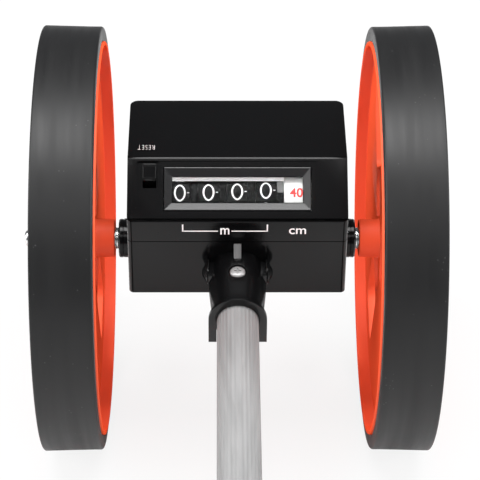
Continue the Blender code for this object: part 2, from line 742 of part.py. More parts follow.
def make_upper_cover(tool):
    cover = half_housing("upper_cover", tool, False)
    for x, y in post_places():
        join(cover, upright_rod(x, y, SEAM_HEIGHT + SEAM_GAP, POST_TOP, POST_RADIUS))
    join(cover, spring_stop_form())
    face = face_frame()
    half = BEZEL_WIDTH / 2 + FIT
    top = BEZEL_TOP - FIT
    bottom = BEZEL_TOP + BEZEL_HEIGHT + FIT
    deep = HOUSING_WALL + CUT_OVERRUN
    cut(cover, block("window", (-half, top, -deep), (half, bottom, CUT_OVERRUN), face))
    left = -RECESS_LEFT
    low = (left - RECESS_WIDTH, RECESS_TOP, -RECESS_DEPTH)
    high = (left, RECESS_TOP + RECESS_LENGTH, CUT_OVERRUN)
    cut(cover, block("recess", low, high, face))
    slot_half = STEM_WIDTH / 2 + FIT
    stem_top = BUTTON_TOP + (BUTTON_LENGTH - STEM_LENGTH) / 2
    low = (-BUTTON_CENTRE_X - slot_half, stem_top - FIT, -deep)
    high = (-BUTTON_CENTRE_X + slot_half, stem_top + STEM_LENGTH + BUTTON_TRAVEL + FIT, CUT_OVERRUN)
    cut(cover, block("stem_slot", low, high, face))
    for x, y in post_places():
        cut(cover, upright_rod(x, y, SEAM_HEIGHT - CUT_OVERRUN, CASE_SCREW_TOP + FIT, CASE_SCREW_RADIUS + FIT))


def spring_stop_form():
    """Rib under the window face that the reset spring pushes against."""
    start = spring_start() + SPRING_LENGTH + FIT
    half = BUTTON_WIDTH / 2
    low = (-BUTTON_CENTRE_X - half, start, -SPRING_DEPTH - SPRING_RADIUS - STOP_THICKNESS)
    high = (-BUTTON_CENTRE_X + half, start + STOP_THICKNESS, -HOUSING_WALL / 2)
    return block("spring_stop", low, high, face_frame())


def spring_start():
    """Distance down the face at which the reset spring leaves the slider."""
    return BUTTON_TOP + BUTTON_LENGTH / 2 + FORK_SIZE / 2 + FIT


def make_case_screws(tool):
    """Four identical screws that hold the two halves of the housing together."""
    low = -UNDERSIDE_DROP + FIT
    shoulder = -UNDERSIDE_DROP + CASE_SCREW_HEAD_HEIGHT
    outline = [(low, 0), (low, CASE_SCREW_HEAD_RADIUS), (shoulder, CASE_SCREW_HEAD_RADIUS),
               (shoulder, CASE_SCREW_RADIUS), (CASE_SCREW_TOP, CASE_SCREW_RADIUS), (CASE_SCREW_TOP, 0)]
    for x, y in post_places():
        place = Matrix.Translation((x, y, 0)) @ UPRIGHT
        side = "left" if x < 0 else "right"
        end = "rear" if y < 0 else "front"
        name = f"{end}_{side}_case_screw"
        piece(name, turned(name, outline, SMALL_STEPS, place), "steel", tool)


def make_window(tool):
    """Bevelled bezel and the clear lens behind it."""
    face = face_frame()
    half, top, bottom = BEZEL_WIDTH / 2, BEZEL_TOP, BEZEL_TOP + BEZEL_HEIGHT
    outer = [(-half, top), (half, top), (half, bottom), (-half, bottom)]
    lip = inset(outer, BEZEL_LIP)
    opening = inset(outer, BEZEL_BEVEL)
    levels = [
        (outer, BEZEL_PROUD), (lip, BEZEL_PROUD), (opening, -BEZEL_DEPTH + BEZEL_LIP),
        (opening, -BEZEL_DEPTH), (outer, -BEZEL_DEPTH),
    ]
    shape = bmesh.new()
    rings = [[shape.verts.new((x, y, level)) for x, y in outline] for outline, level in levels]
    for ring, following in zip(rings, rings[1:] + rings[:1]):
        bridge(shape, ring, following)
    piece("window_bezel", mesh_from("window_bezel", shape, face), "bezel_black", tool)
    spread = BEZEL_BEVEL - LENS_OVERLAP
    upper = -BEZEL_DEPTH - FIT
    low = (-half + spread, top + spread, upper - LENS_THICKNESS)
    high = (half - spread, bottom - spread, upper)
    piece("window_lens", block("window_lens", low, high, face), "clear_lens", tool)


def drum_outline(middle):
    """Section of a number drum: rim, web and hub, open on its right side."""
    left, right = middle - DRUM_WIDTH / 2, middle + DRUM_WIDTH / 2
    bore = DRUM_SHAFT_RADIUS + FIT
    return [
        (left, bore), (left, DRUM_RADIUS), (right, DRUM_RADIUS), (right, DRUM_RADIUS - DRUM_RIM),
        (left + DRUM_WEB, DRUM_RADIUS - DRUM_RIM), (left + DRUM_WEB, DRUM_HUB_RADIUS),
        (right, DRUM_HUB_RADIUS), (right, bore),
    ]


def make_drums(tool):
    """Four metre drums and the centimetre drum, each with its own axis."""
    names = ["thousands_drum", "hundreds_drum", "tens_drum", "units_drum", "centimetre_drum"]
    place = Matrix.Translation((0, *DRUM_AXIS))
    ring_phase = meshed_ring_phase()
    for name, middle in zip(names, DRUM_PLACES):
        axis = empty(f"{name}_axis", tool, (0, *DRUM_AXIS))
        finish = "drum_white" if name == "centimetre_drum" else "drum_black"
        body = piece(name, turned(name, drum_outline(middle), DRUM_STEPS, place), finish, axis)
        if name == "centimetre_drum":
            make_drum_gear(axis)
            continue
        start = middle + DRUM_WIDTH / 2
        ring = gear_outline(RING_TEETH, RING_MODULE, ring_phase, DRUM_AXIS)
        join(body, prism("carry_ring", ring, start - JOIN_OVERLAP, start + RING_WIDTH))
        inner = DRUM_SHAFT_RADIUS + FIT
        cut(body, rod("ring_bore", start - JOIN_OVERLAP, start + RING_WIDTH + CUT_OVERRUN, inner, DRUM_AXIS))


def meshed_ring_phase():
    return meshed_phase(PINION_AXIS, PINION_TEETH, pinion_phase(), DRUM_AXIS, RING_TEETH)


def pinion_phase():
    """A tooth of each carry pinion points at the drums' axis."""
    return PINION_ANGLE + math.pi


def make_drum_gear(axis):
    """Gear on the side of the centimetre drum, driven through the idler."""
    phase = meshed_phase(IDLER_AXIS, IDLER_TEETH, idler_phase(), DRUM_AXIS, DRUM_GEAR_TEETH)
    outline = gear_outline(DRUM_GEAR_TEETH, GEAR_MODULE, phase, DRUM_AXIS)
    span = (GEAR_START + FIT, GEAR_START + FIT + GEAR_WIDTH)
    gear("drum_gear", outline, DRUM_AXIS, span, DRUM_SHAFT_RADIUS + FIT, "gear_white", axis)


def idler_phase():
    towards = math.atan2(IDLER_AXIS[1], IDLER_AXIS[0])
    return meshed_phase((0, 0), AXLE_GEAR_TEETH, towards, IDLER_AXIS, IDLER_TEETH)


def make_carry_pinions(tool):
    names = ["thousands_pinion", "hundreds_pinion", "tens_pinion", "units_pinion"]
    outline = gear_outline(PINION_TEETH, RING_MODULE, pinion_phase(), PINION_AXIS)
    for name, middle in zip(names, DRUM_PLACES):
        axis = empty(f"{name}_axis", tool, (0, *PINION_AXIS))
        start = middle + DRUM_WIDTH / 2 + FIT
        gear(name, outline, PINION_AXIS, (start, start + RING_WIDTH), PINION_SHAFT_RADIUS + FIT, "gear_white", axis)


def make_idler(tool):
    axis = empty("idler_axis", tool, (0, *IDLER_AXIS))
    outline = gear_outline(IDLER_TEETH, GEAR_MODULE, idler_phase(), IDLER_AXIS)
    span = (GEAR_START + FIT, GEAR_START + FIT + GEAR_WIDTH)
    gear("idler_gear", outline, IDLER_AXIS, span, IDLER_PIN_RADIUS + FIT, "gear_white", axis)
    pin = rod("idler_pin", GEAR_START, SHAFT_REACH, IDLER_PIN_RADIUS, IDLER_AXIS, SMALL_STEPS)
    piece("idler_pin", pin, "steel", tool)


def plate_outline():
    """Side plate of the counter, with a gap for the axle between its two feet."""
    floor = -UNDERSIDE_DROP + HOUSING_WALL + FIT
    rear = -REAR_WALL_OFFSET + HOUSING_WALL + PLATE_LEG_GAP
    front = ROCKER_AXIS[0] + PLATE_MARGIN
    gap = AXLE_RADIUS + PLATE_LEG_GAP
    top = ROCKER_AXIS[1] + PLATE_MARGIN
    over_axle = arc((0, 0), gap, 180, 0, 6)
    return [
        (rear, floor), (-gap, floor), *over_axle, (gap, floor), (front, floor), (front, top),
        (DRUM_AXIS[0], top), (rear, DRUM_AXIS[1]),
    ]


def make_counter_frame(tool):
    """Two side plates and the shafts between them."""
    outline = plate_outline()
    for name, side in (("left_counter_plate", LEFT), ("right_counter_plate", RIGHT)):
        span = sorted((side * PLATE_INNER, side * (PLATE_INNER + COUNTER_PLATE)))
        plate = piece(name, prism(name, outline, *span), "plate_grey", tool)
        holes = [(DRUM_AXIS, DRUM_SHAFT_RADIUS), (PINION_AXIS, PINION_SHAFT_RADIUS), (ROCKER_AXIS, ROCKER_SHAFT_RADIUS)]
        if side == RIGHT:
            holes.append((IDLER_AXIS, IDLER_PIN_RADIUS))
        for centre, radius in holes:
            start, stop = span[0] - CUT_OVERRUN, span[1] + CUT_OVERRUN
            cut(plate, rod("hole", start, stop, radius + FIT, centre, SMALL_STEPS))
    drum_shaft = rod("drum_shaft", -SHAFT_REACH, SHAFT_REACH, DRUM_SHAFT_RADIUS, DRUM_AXIS)
    piece("drum_shaft", drum_shaft, "steel", tool)
    pinion_shaft = rod("pinion_shaft", -SHAFT_REACH, SHAFT_REACH, PINION_SHAFT_RADIUS, PINION_AXIS, SMALL_STEPS)
    piece("pinion_shaft", pinion_shaft, "steel", tool)


def bar_between(name, start, stop, span, height):
    """A flat bar from one (y, z) place to another."""
    direction = (Vector(stop) - Vector(start)).normalized()
    aside = Vector((-direction.y, direction.x)) * (height / 2)
    first, last = Vector(start), Vector(stop)
    return prism(name, [first - aside, last - aside, last + aside, first + aside], *span)


def make_reset(tool):
    """Sprung slider on the window face and the rocker that it turns."""
    slider_axis = empty("reset_slide_axis", tool)
    face = face_frame()
    centre = -BUTTON_CENTRE_X
    half = BUTTON_WIDTH / 2
    base = -RECESS_DEPTH + FIT
    middle = BUTTON_TOP + BUTTON_LENGTH / 2
    low = (centre - half, BUTTON_TOP, base)
    high = (centre + half, BUTTON_TOP + BUTTON_LENGTH, base + BUTTON_HEIGHT)
    button = piece("reset_button", block("reset_button", low, high, face), "housing_black", slider_axis)
    low = (centre - STEM_WIDTH / 2, middle - STEM_LENGTH / 2, -FORK_DEPTH / 2)
    high = (centre + STEM_WIDTH / 2, middle + STEM_LENGTH / 2, base + JOIN_OVERLAP)
    join(button, block("stem", low, high, face))
    fork_top = -HOUSING_WALL - FIT
    low = (centre - FORK_WIDTH / 2, middle - FORK_SIZE / 2, -FORK_DEPTH)
    high = (centre + FORK_WIDTH / 2, middle + FORK_SIZE / 2, fork_top)
    join(button, block("fork", low, high, face))
    slot = ARM_PIN_RADIUS + ARM_PIN_PLAY
    low = (centre - FORK_WIDTH, middle - slot, -FORK_DEPTH - CUT_OVERRUN)
    high = (centre + FORK_WIDTH, middle + slot, -FORK_SLOT_TOP)
    cut(button, block("fork_slot", low, high, face))
    make_reset_spring(tool, face)
    make_rocker(tool)


def make_reset_spring(parent, face):
    """Compression spring between the slider and the rib inside the cover."""
    start = spring_start()
    points = []
    count = SPRING_TURNS * SPRING_POINTS_PER_TURN
    lead = SPRING_WIRE_RADIUS * 2
    rise = (SPRING_LENGTH - lead * 2) / count
    for step in range(count + 1):
        angle = 2 * math.pi * step / SPRING_POINTS_PER_TURN
        across = SPRING_RADIUS * math.cos(angle)
        depth = -SPRING_DEPTH + SPRING_RADIUS * math.sin(angle)
        points.append(Vector((-BUTTON_CENTRE_X + across, start + lead + rise * step, depth)))
    points.insert(0, points[0] - Vector((0, lead, 0)))
    points.append(points[-1] + Vector((0, lead, 0)))
    gap = rise * SPRING_POINTS_PER_TURN - SPRING_WIRE_RADIUS * 2
    print(f"least gap between reset spring turns: {gap:.5f} m")
    piece("reset_spring", wire_form(points, SPRING_WIRE_RADIUS, face), "steel", parent)


def wire_form(points, radius, matrix):
    """An unbroken round wire through points, with closed ends."""
    shape = bmesh.new()
    rings = []
    for index, point in enumerate(points):
        before = points[max(index - 1, 0)]
        after = points[min(index + 1, len(points) - 1)]
        forward = (after - before).normalized()
        side = forward.cross(Vector((0, 1, 0)))
        if side.length < 0.5:
            side = (points[2] - points[1]).cross(Vector((0, 1, 0)))
            side = side - forward * side.dot(forward)
        side.normalize()
        over = forward.cross(side)
        angles = [math.pi * corner / 2 for corner in range(4)]
        rings.append([shape.verts.new(point + (side * math.cos(a) + over * math.sin(a)) * radius) for a in angles])
    for ring, following in zip(rings, rings[1:]):
        bridge(shape, ring, following)
    shape.faces.new(rings[0])
    shape.faces.new(rings[-1])
    return mesh_from("wire", shape, matrix)


def make_rocker(tool):
    """Reset shaft with one finger for each gap between drums, and the arm the slider moves."""
    axis = empty("rocker_axis", tool, (0, *ROCKER_AXIS))
    arm_x = BUTTON_CENTRE_X
    left = arm_x - FORK_WIDTH / 2 - FIT - ARM_THICKNESS
    shaft = rod("reset_rocker", left, SHAFT_REACH, ROCKER_SHAFT_RADIUS, ROCKER_AXIS, SMALL_STEPS)
    rocker = piece("reset_rocker", shaft, "plate_grey", axis)
    for middle in DRUM_PLACES[:-1]:
        x = middle + DRUM_PITCH / 2
        tip = polar(ROCKER_AXIS, FINGER_REACH, FINGER_REST_ANGLE)
        span = (x - FINGER_WIDTH / 2, x + FINGER_WIDTH / 2)
        join(rocker, bar_between("finger", ROCKER_AXIS, tip, span, FINGER_HEIGHT))
    span = (left, left + ARM_THICKNESS)
    join(rocker, bar_between("arm", ROCKER_AXIS, ARM_PIN, span, ARM_PIN_RADIUS * 2))
    far = arm_x + FORK_WIDTH / 2 + FIT
    join(rocker, rod("arm_pin", left, far, ARM_PIN_RADIUS, ARM_PIN, SMALL_STEPS))


def neck_section(along, radius, drop):
    """Round-topped section of the neck, closed straight across below."""
    points = [(radius, -along, POLE_RISE - drop)]
    for x, z in arc((0, POLE_RISE), radius, 0, 180, 12):
        points.append((x, -along, z))
    points.append((-radius, -along, POLE_RISE - drop))
    return points


def make_neck(fold):
    """Knuckle, tapered hood, open-bottomed end and the spigot inside the tube."""
    flange = NECK_END - NECK_FLANGE_LENGTH
    flange_drop = NECK_LEG_DROP + NECK_FLANGE_RADIUS - NECK_END_RADIUS
    sections = [
        neck_section(NECK_ROOT, NECK_ROOT_RADIUS, NECK_LEG_DROP),
        neck_section(PIVOT_OFFSET + KNUCKLE_RADIUS, NECK_ROOT_RADIUS, NECK_LEG_DROP),
        neck_section(flange, NECK_END_RADIUS, NECK_LEG_DROP),
        neck_section(flange, NECK_FLANGE_RADIUS, flange_drop),
        neck_section(NECK_END, NECK_FLANGE_RADIUS, flange_drop),
    ]
    neck = piece("neck", loft("neck", sections), "housing_black", fold)
    reach = NECK_ROOT_RADIUS + CUT_OVERRUN
    cut(neck, prism("fold_relief", relief_outline(), -reach, reach))
    channel = LOWER_TUBE_RADIUS + FIT
    start = BULKHEAD_START + BULKHEAD_LENGTH
    drop = flange_drop + CUT_OVERRUN
    cut(neck, loft("channel", [neck_section(start, channel, drop),
                               neck_section(NECK_END + CUT_OVERRUN, channel, drop)]))
    spigot_radius = LOWER_TUBE_RADIUS - TUBE_WALL - FIT
    place = Matrix.Translation((0, 0, POLE_RISE)) @ ALONG_POLE
    spigot = [(start - BULKHEAD_LENGTH / 2, 0), (start - BULKHEAD_LENGTH / 2, spigot_radius),
              (start + SPIGOT_LENGTH, spigot_radius), (start + SPIGOT_LENGTH, 0)]
    join(neck, turned("spigot", spigot, TUBE_STEPS, place))
    boss = NECK_ROOT_RADIUS - JOIN_OVERLAP
    join(neck, rod("knuckle", -boss, boss, KNUCKLE_RADIUS - FIT, PIVOT))
    cut(neck, rod("pin_hole", -reach, reach, PIVOT_PIN_RADIUS + FIT, PIVOT, SMALL_STEPS))
    cut_latch_seat(neck)


def relief_outline():
    """What is cut away under the neck so that it folds past the housing's lower corner."""
    knuckle = arc(PIVOT, KNUCKLE_RADIUS, 0, -90, 5)
    rear = -NECK_ROOT + CUT_OVERRUN
    low = POLE_RISE - NECK_LEG_DROP - CUT_OVERRUN
    return [
        (rear, PIVOT_RISE), *knuckle, (-BULKHEAD_START, PIVOT_RISE - KNUCKLE_RADIUS),
        (-BULKHEAD_START, low), (rear, low),
    ]


def cut_latch_seat(neck):
    """Groove and tunnel for the latch spring, and the recess and hole of its screw."""
    half = LATCH_WIDTH / 2 + FIT
    top = POLE_RISE + NECK_ROOT_RADIUS + CUT_OVERRUN
    floor = LATCH_RISE - FIT
    root = -NECK_ROOT + CUT_OVERRUN
    cut(neck, block("latch_groove", (-half, -NECK_ROOT - LATCH_OPEN_LENGTH, floor), (half, root, top)))
    tail = -NECK_SCREW_OFFSET - LATCH_TAIL - FIT
    roof = LATCH_RISE + LATCH_THICKNESS + FIT
    cut(neck, block("latch_tunnel", (-half, tail, floor), (half, root, roof)))
    x, y = 0, -NECK_SCREW_OFFSET
    cut(neck, upright_rod(x, y, floor, top, NECK_SCREW_HEAD_RADIUS + FIT, ROUND_STEPS))
    bottom = LATCH_RISE - NECK_SCREW_LENGTH - FIT
    cut(neck, upright_rod(x, y, bottom, top, NECK_SCREW_RADIUS + FIT))


def make_latch(fold):
    """Leaf spring that holds the neck straight, and the screw that clamps it."""
    half = LATCH_WIDTH / 2
    y = -NECK_SCREW_OFFSET
    low = (-half, y - LATCH_TAIL, LATCH_RISE)
    high = (half, -NECK_ROOT, LATCH_RISE + LATCH_THICKNESS)
    leaf = piece("latch_spring", block("latch_spring", low, high), "steel", fold)
    bottom, top = LATCH_RISE - CUT_OVERRUN, LATCH_RISE + CUT_OVERRUN
    cut(leaf, upright_rod(0, y, bottom, top, half * 2 / 3 - FIT / 2))
    seat = LATCH_RISE + LATCH_THICKNESS + FIT
    crown = seat + NECK_SCREW_HEAD_HEIGHT
    shank = half * 2 / 3 - FIT * 3 / 2
    outline = [
        (LATCH_RISE - NECK_SCREW_LENGTH, 0), (LATCH_RISE - NECK_SCREW_LENGTH, shank),
        (seat, shank), (seat, NECK_SCREW_HEAD_RADIUS),
        (seat + NECK_SCREW_HEAD_HEIGHT / 2, NECK_SCREW_HEAD_RADIUS),
        (crown, NECK_SCREW_HEAD_RADIUS * 2 / 3), (crown, 0),
    ]
    place = Matrix.Translation((0, y, 0)) @ UPRIGHT
    piece("neck_screw", turned("neck_screw", outline, ROUND_STEPS, place), "steel", fold)


def fluted_ring(along, radius):
    """Points round the fluted tube, each flute drawn in between two crests."""
    points = []
    for step in range(FLUTE_COUNT * 2):
        angle = math.pi * step / FLUTE_COUNT
        reach = radius - FLUTE_DEPTH * (step % 2)
        points.append((reach * math.cos(angle), -along, POLE_RISE + reach * math.sin(angle)))
    return points


def make_lower_tube(fold):
    """Fluted aluminium tube that the neck's spigot fills at its lower end."""
    stop = LOWER_TUBE_START + LOWER_TUBE_LENGTH
    ends = (LOWER_TUBE_START, stop)
    form = loft("lower_tube", [fluted_ring(end, LOWER_TUBE_RADIUS) for end in ends])
    tube = piece("lower_tube", form, "aluminium", fold)
    place = Matrix.Translation((0, 0, POLE_RISE)) @ ALONG_POLE
    bore = LOWER_TUBE_RADIUS - TUBE_WALL
    start, end = LOWER_TUBE_START - CUT_OVERRUN, stop + CUT_OVERRUN
    outline = [(start, 0), (start, bore), (end, bore), (end, 0)]
    cut(tube, turned("bore", outline, TUBE_STEPS, place))


def collar_outline(tube_start, inner_radius, tube_radius):
    """Twist collar: lip round the inner tube, pocket for the collet, sleeve on the outer tube."""
    collet = inner_radius + FIT + COLLET_WALL
    outside = max(collet, tube_radius) + FIT + COLLAR_WALL
    pocket_start = tube_start - FIT - COLLET_LENGTH - FIT
    lip = pocket_start - COLLAR_LIP
    stop = tube_start + COLLAR_GRIP_LENGTH
    return [
        (lip, inner_radius + FIT), (lip, outside - COLLAR_CHAMFER), (lip + COLLAR_CHAMFER, outside),
        (stop - COLLAR_CHAMFER, outside), (stop, outside - COLLAR_CHAMFER), (stop, tube_radius + FIT),
        (tube_start - FIT, tube_radius + FIT), (tube_start - FIT, collet + FIT),
        (pocket_start, collet + FIT), (pocket_start, inner_radius + FIT),
    ]


def make_slide(name, parent, start, length, inner_radius, tube_radius, collar_name):
    """One outer tube with its twist collar and collet."""
    place = Matrix.Translation((0, 0, POLE_RISE)) @ ALONG_POLE
    form = sleeve(name, start, start + length, tube_radius - TUBE_WALL, tube_radius, TUBE_STEPS, place)
    piece(name, form, "aluminium", parent)
    outline = collar_outline(start, inner_radius, tube_radius)
    piece(f"{collar_name}_collar", turned("collar", outline, TUBE_STEPS, place), "collar_black", parent)
    stop = start - FIT
    collet = sleeve("collet", stop - COLLET_LENGTH, stop - FIT, inner_radius + FIT,
                    inner_radius + FIT + COLLET_WALL, TUBE_STEPS, place)
    piece(f"{collar_name}_collet", collet, "gear_white", parent)


def make_grip(parent):
    """Soft grip on the upper tube and the cap that closes its end."""
    place = Matrix.Translation((0, 0, POLE_RISE)) @ ALONG_POLE
    bore = UPPER_TUBE_RADIUS + FIT
    start = GRIP_END - GRIP_LENGTH
    swell = [(start, GRIP_RADIUS - GRIP_WAIST), (start + GRIP_LENGTH / 8, GRIP_RADIUS),
             (start + GRIP_LENGTH / 2, GRIP_RADIUS - GRIP_WAIST), (GRIP_END - GRIP_LENGTH / 8, GRIP_RADIUS),
             (GRIP_END, GRIP_RADIUS)]
    outline = [(start, bore), *swell, (GRIP_END, bore)]
    piece("grip", turned("grip", outline, TUBE_STEPS, place), "grip_rubber", parent)
    plug = UPPER_TUBE_RADIUS - TUBE_WALL - FIT
    cap = [
        (GRIP_END - CAP_PLUG_LENGTH, 0), (GRIP_END - CAP_PLUG_LENGTH, plug), (GRIP_END + FIT, plug),
        (GRIP_END + FIT, CAP_RADIUS - CAP_CHAMFER), (GRIP_END + FIT + CAP_CHAMFER, CAP_RADIUS),
        (POLE_END - CAP_CHAMFER, CAP_RADIUS), (POLE_END, CAP_RADIUS - CAP_CHAMFER), (POLE_END, 0),
    ]
    piece("grip_end_cap", turned("grip_end_cap", cap, TUBE_STEPS, place), "collar_black", parent)


def make_pole(tool):
    """The folding neck and the three tubes of the telescopic pole."""
    fold = empty("fold_axis", tool, (0, *PIVOT))
    make_neck(fold)
    make_latch(fold)
    make_lower_tube(fold)
    middle_slide = empty("middle_slide_axis", tool, (0, -MIDDLE_TUBE_START, POLE_RISE))
    make_slide("middle_tube", middle_slide, MIDDLE_TUBE_START, MIDDLE_TUBE_END - MIDDLE_TUBE_START,
               LOWER_TUBE_RADIUS, MIDDLE_TUBE_RADIUS, "lower")
    upper_slide = empty("upper_slide_axis", tool, (0, -UPPER_TUBE_START, POLE_RISE))
    make_slide("upper_tube", upper_slide, UPPER_TUBE_START, UPPER_TUBE_LENGTH,
               MIDDLE_TUBE_RADIUS, UPPER_TUBE_RADIUS, "upper")
    make_grip(upper_slide)
    reach = NECK_ROOT_RADIUS + LUG_BASE_GAP + LUG_THICKNESS
    pin = rod("fold_pin", -reach, reach, PIVOT_PIN_RADIUS, PIVOT, SMALL_STEPS)
    piece("fold_pin", pin, "steel", tool)


def build():
    clear_scene()
    tool = empty("tool_frame", None)
    make_wheel_set(tool)
    make_bush("right_axle_bush", RIGHT, tool)
    make_bush("left_axle_bush", LEFT, tool)
    make_lower_shell(tool)
    make_upper_cover(tool)
    make_case_screws(tool)
    make_window(tool)
    make_counter_frame(tool)
    make_drums(tool)
    make_carry_pinions(tool)
    make_idler(tool)
    make_reset(tool)
    make_pole(tool)
    finish_shapes()
    set_down(tool)


build()
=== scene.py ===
# %% [markdown]
# A two-wheel measuring wheel, dressed over its working model.
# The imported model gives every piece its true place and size, so nothing is fitted by eye:
# each finished piece either takes over from a plain solid or adds a fine surface to it.

# %% Load the working model
import math

import bmesh
import bpy
from mathutils import Matrix, Vector


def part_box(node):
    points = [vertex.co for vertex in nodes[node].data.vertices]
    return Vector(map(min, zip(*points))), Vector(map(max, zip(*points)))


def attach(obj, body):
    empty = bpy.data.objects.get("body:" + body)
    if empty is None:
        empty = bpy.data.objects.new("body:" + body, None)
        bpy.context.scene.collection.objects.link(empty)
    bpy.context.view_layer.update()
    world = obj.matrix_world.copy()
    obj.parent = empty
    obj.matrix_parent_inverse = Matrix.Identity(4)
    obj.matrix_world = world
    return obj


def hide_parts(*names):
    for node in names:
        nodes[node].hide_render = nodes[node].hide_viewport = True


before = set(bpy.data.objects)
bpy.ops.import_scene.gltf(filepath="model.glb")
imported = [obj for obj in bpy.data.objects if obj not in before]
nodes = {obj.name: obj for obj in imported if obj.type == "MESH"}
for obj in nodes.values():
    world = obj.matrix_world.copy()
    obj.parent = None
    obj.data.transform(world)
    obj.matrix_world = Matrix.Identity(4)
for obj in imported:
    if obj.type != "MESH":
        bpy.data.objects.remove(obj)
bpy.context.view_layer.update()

print("nodes in the working model:", len(nodes))

# %% [markdown]
# The tool leans on its two wheels and on the end of its grip.
# Its own frame has the axle along X through the origin, the pole towards -Y and Z up from the pole.
# One matrix carries that frame to the floor, so a piece is drawn square and then leaned over.

# %% The tool's own frame
MM = 0.001
WHEEL_RADIUS = 0.5 / (2 * math.pi)
POLE_RISE = 1.6 * MM
POLE_END = 498.3 * MM
CAP_RADIUS = 14.8 * MM
CAP_CHAMFER = 1.6 * MM
FIT = 0.3 * MM
reach = POLE_END - CAP_CHAMFER
below = CAP_RADIUS - POLE_RISE
TILT = math.asin(WHEEL_RADIUS / math.hypot(reach, below)) - math.atan2(below, reach)
bush_low, bush_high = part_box("left_axle_bush")
AXLE = Vector((0, (bush_low.y + bush_high.y) / 2, (bush_low.z + bush_high.z) / 2))
TOOL = Matrix.Translation(AXLE) @ Matrix.Rotation(TILT, 4, "X")
print("the pole slopes down by", round(math.degrees(TILT), 2), "degrees; axle at",
      [round(c, 4) for c in AXLE])

# %% [markdown]
# Most pieces here are turned, extruded or lofted, so three small builders make nearly all meshes.
# Each returns a bare mesh in the tool's frame; `make_piece` then leans it over, gives it a material,
# hides the plain solid it stands for and lets it ride on its moving body.

# %% Builders for meshes
def mesh_from(shape, name):
    bmesh.ops.remove_doubles(shape, verts=shape.verts, dist=1e-7)
    bmesh.ops.recalc_face_normals(shape, faces=shape.faces)
    mesh = bpy.data.meshes.new(name)
    shape.to_mesh(mesh)
    shape.free()
    return mesh


def in_mm(points):
    """Points given in millimetres, as the metres that the builders take."""
    return [tuple(value * MM for value in point) for point in points]


def axes(x, y, z):
    """A turn that lays X, Y and Z along three given directions."""
    return Matrix((x, y, z)).transposed().to_4x4()


def bridge(shape, ring, following):
    count = max(len(ring), len(following))
    for step in range(count):
        after = (step + 1) % count
        if len(ring) == 1:
            shape.faces.new((ring[0], following[step], following[after]))
        elif len(following) == 1:
            shape.faces.new((ring[step], following[0], ring[after]))
        else:
            shape.faces.new((ring[step], following[step], following[after], ring[after]))


def turned(name, outline, steps=96, closed=True):
    """Turn (along, radius) points about the X axis."""
    shape = bmesh.new()
    rings = []
    for along, radius in outline:
        if radius == 0:
            rings.append([shape.verts.new((along, 0, 0))])
        else:
            turns = [2 * math.pi * step / steps for step in range(steps)]
            circle = [(along, radius * math.cos(t), radius * math.sin(t)) for t in turns]
            rings.append([shape.verts.new(point) for point in circle])
    pairs = list(zip(rings, rings[1:]))
    if closed and len(rings[0]) > 1 and len(rings[-1]) > 1:
        pairs.append((rings[-1], rings[0]))
    for ring, following in pairs:
        bridge(shape, ring, following)
    return mesh_from(shape, name)


def loft(name, sections):
    """Skin sections that have the same number of points, and close both ends."""
    shape = bmesh.new()
    rings = [[shape.verts.new(point) for point in section] for section in sections]
    for ring, following in zip(rings, rings[1:]):
        bridge(shape, ring, following)
    shape.faces.new(rings[0])
    shape.faces.new(rings[-1])
    return mesh_from(shape, name)


def prism(name, outline, start, stop):
    """Extrude a (y, z) outline along X."""
    return loft(name, [[(x, y, z) for y, z in outline] for x in (start, stop)])


def box_mesh(name, low, high, matrix=Matrix()):
    outline = [(low[1], low[2]), (high[1], low[2]), (high[1], high[2]), (low[1], high[2])]
    mesh = prism(name, outline, low[0], high[0])
    mesh.transform(matrix)
    return mesh


def rod(name, start, stop, radius, y=0.0, z=0.0, steps=48):
    mesh = turned(name, [(start, 0), (start, radius), (stop, radius), (stop, 0)], steps)
    mesh.transform(Matrix.Translation((0, y, z)))
    return mesh


def arc(centre, radius, start, stop, steps):
    turns = [math.radians(start + (stop - start) * step / steps) for step in range(steps + 1)]
    return [(centre[0] + radius * math.cos(t), centre[1] + radius * math.sin(t)) for t in turns]


def rounded(outline, radius, steps=4):
    """Round every corner of a closed outline of points in a plane."""
    points = []
    for index, corner in enumerate(outline):
        here = Vector(corner)
        back = (Vector(outline[index - 1]) - here)
        ahead = (Vector(outline[(index + 1) % len(outline)]) - here)
        reach = min(radius, back.length / 2, ahead.length / 2)
        first, last = here + back.normalized() * reach, here + ahead.normalized() * reach
        for step in range(steps + 1):
            t = step / steps
            point = first * (1 - t) ** 2 + here * 2 * t * (1 - t) + last * t ** 2
            points.append(tuple(point))
    return points


X_TO_POLE = Matrix(((0, 1, 0, 0), (-1, 0, 0, 0), (0, 0, 1, 0), (0, 0, 0, 1)))
ALONG_POLE = Matrix.Translation((0, 0, POLE_RISE)) @ X_TO_POLE
UPRIGHT = Matrix(((0, 0, -1, 0), (0, 1, 0, 0), (1, 0, 0, 0), (0, 0, 0, 1)))
print("builders ready: turned, loft, prism, box_mesh, rod")

# %% Shaping and seating a piece
def smooth(mesh, degrees=32):
    mesh.shade_smooth()
    mesh.set_sharp_from_angle(angle=math.radians(degrees))


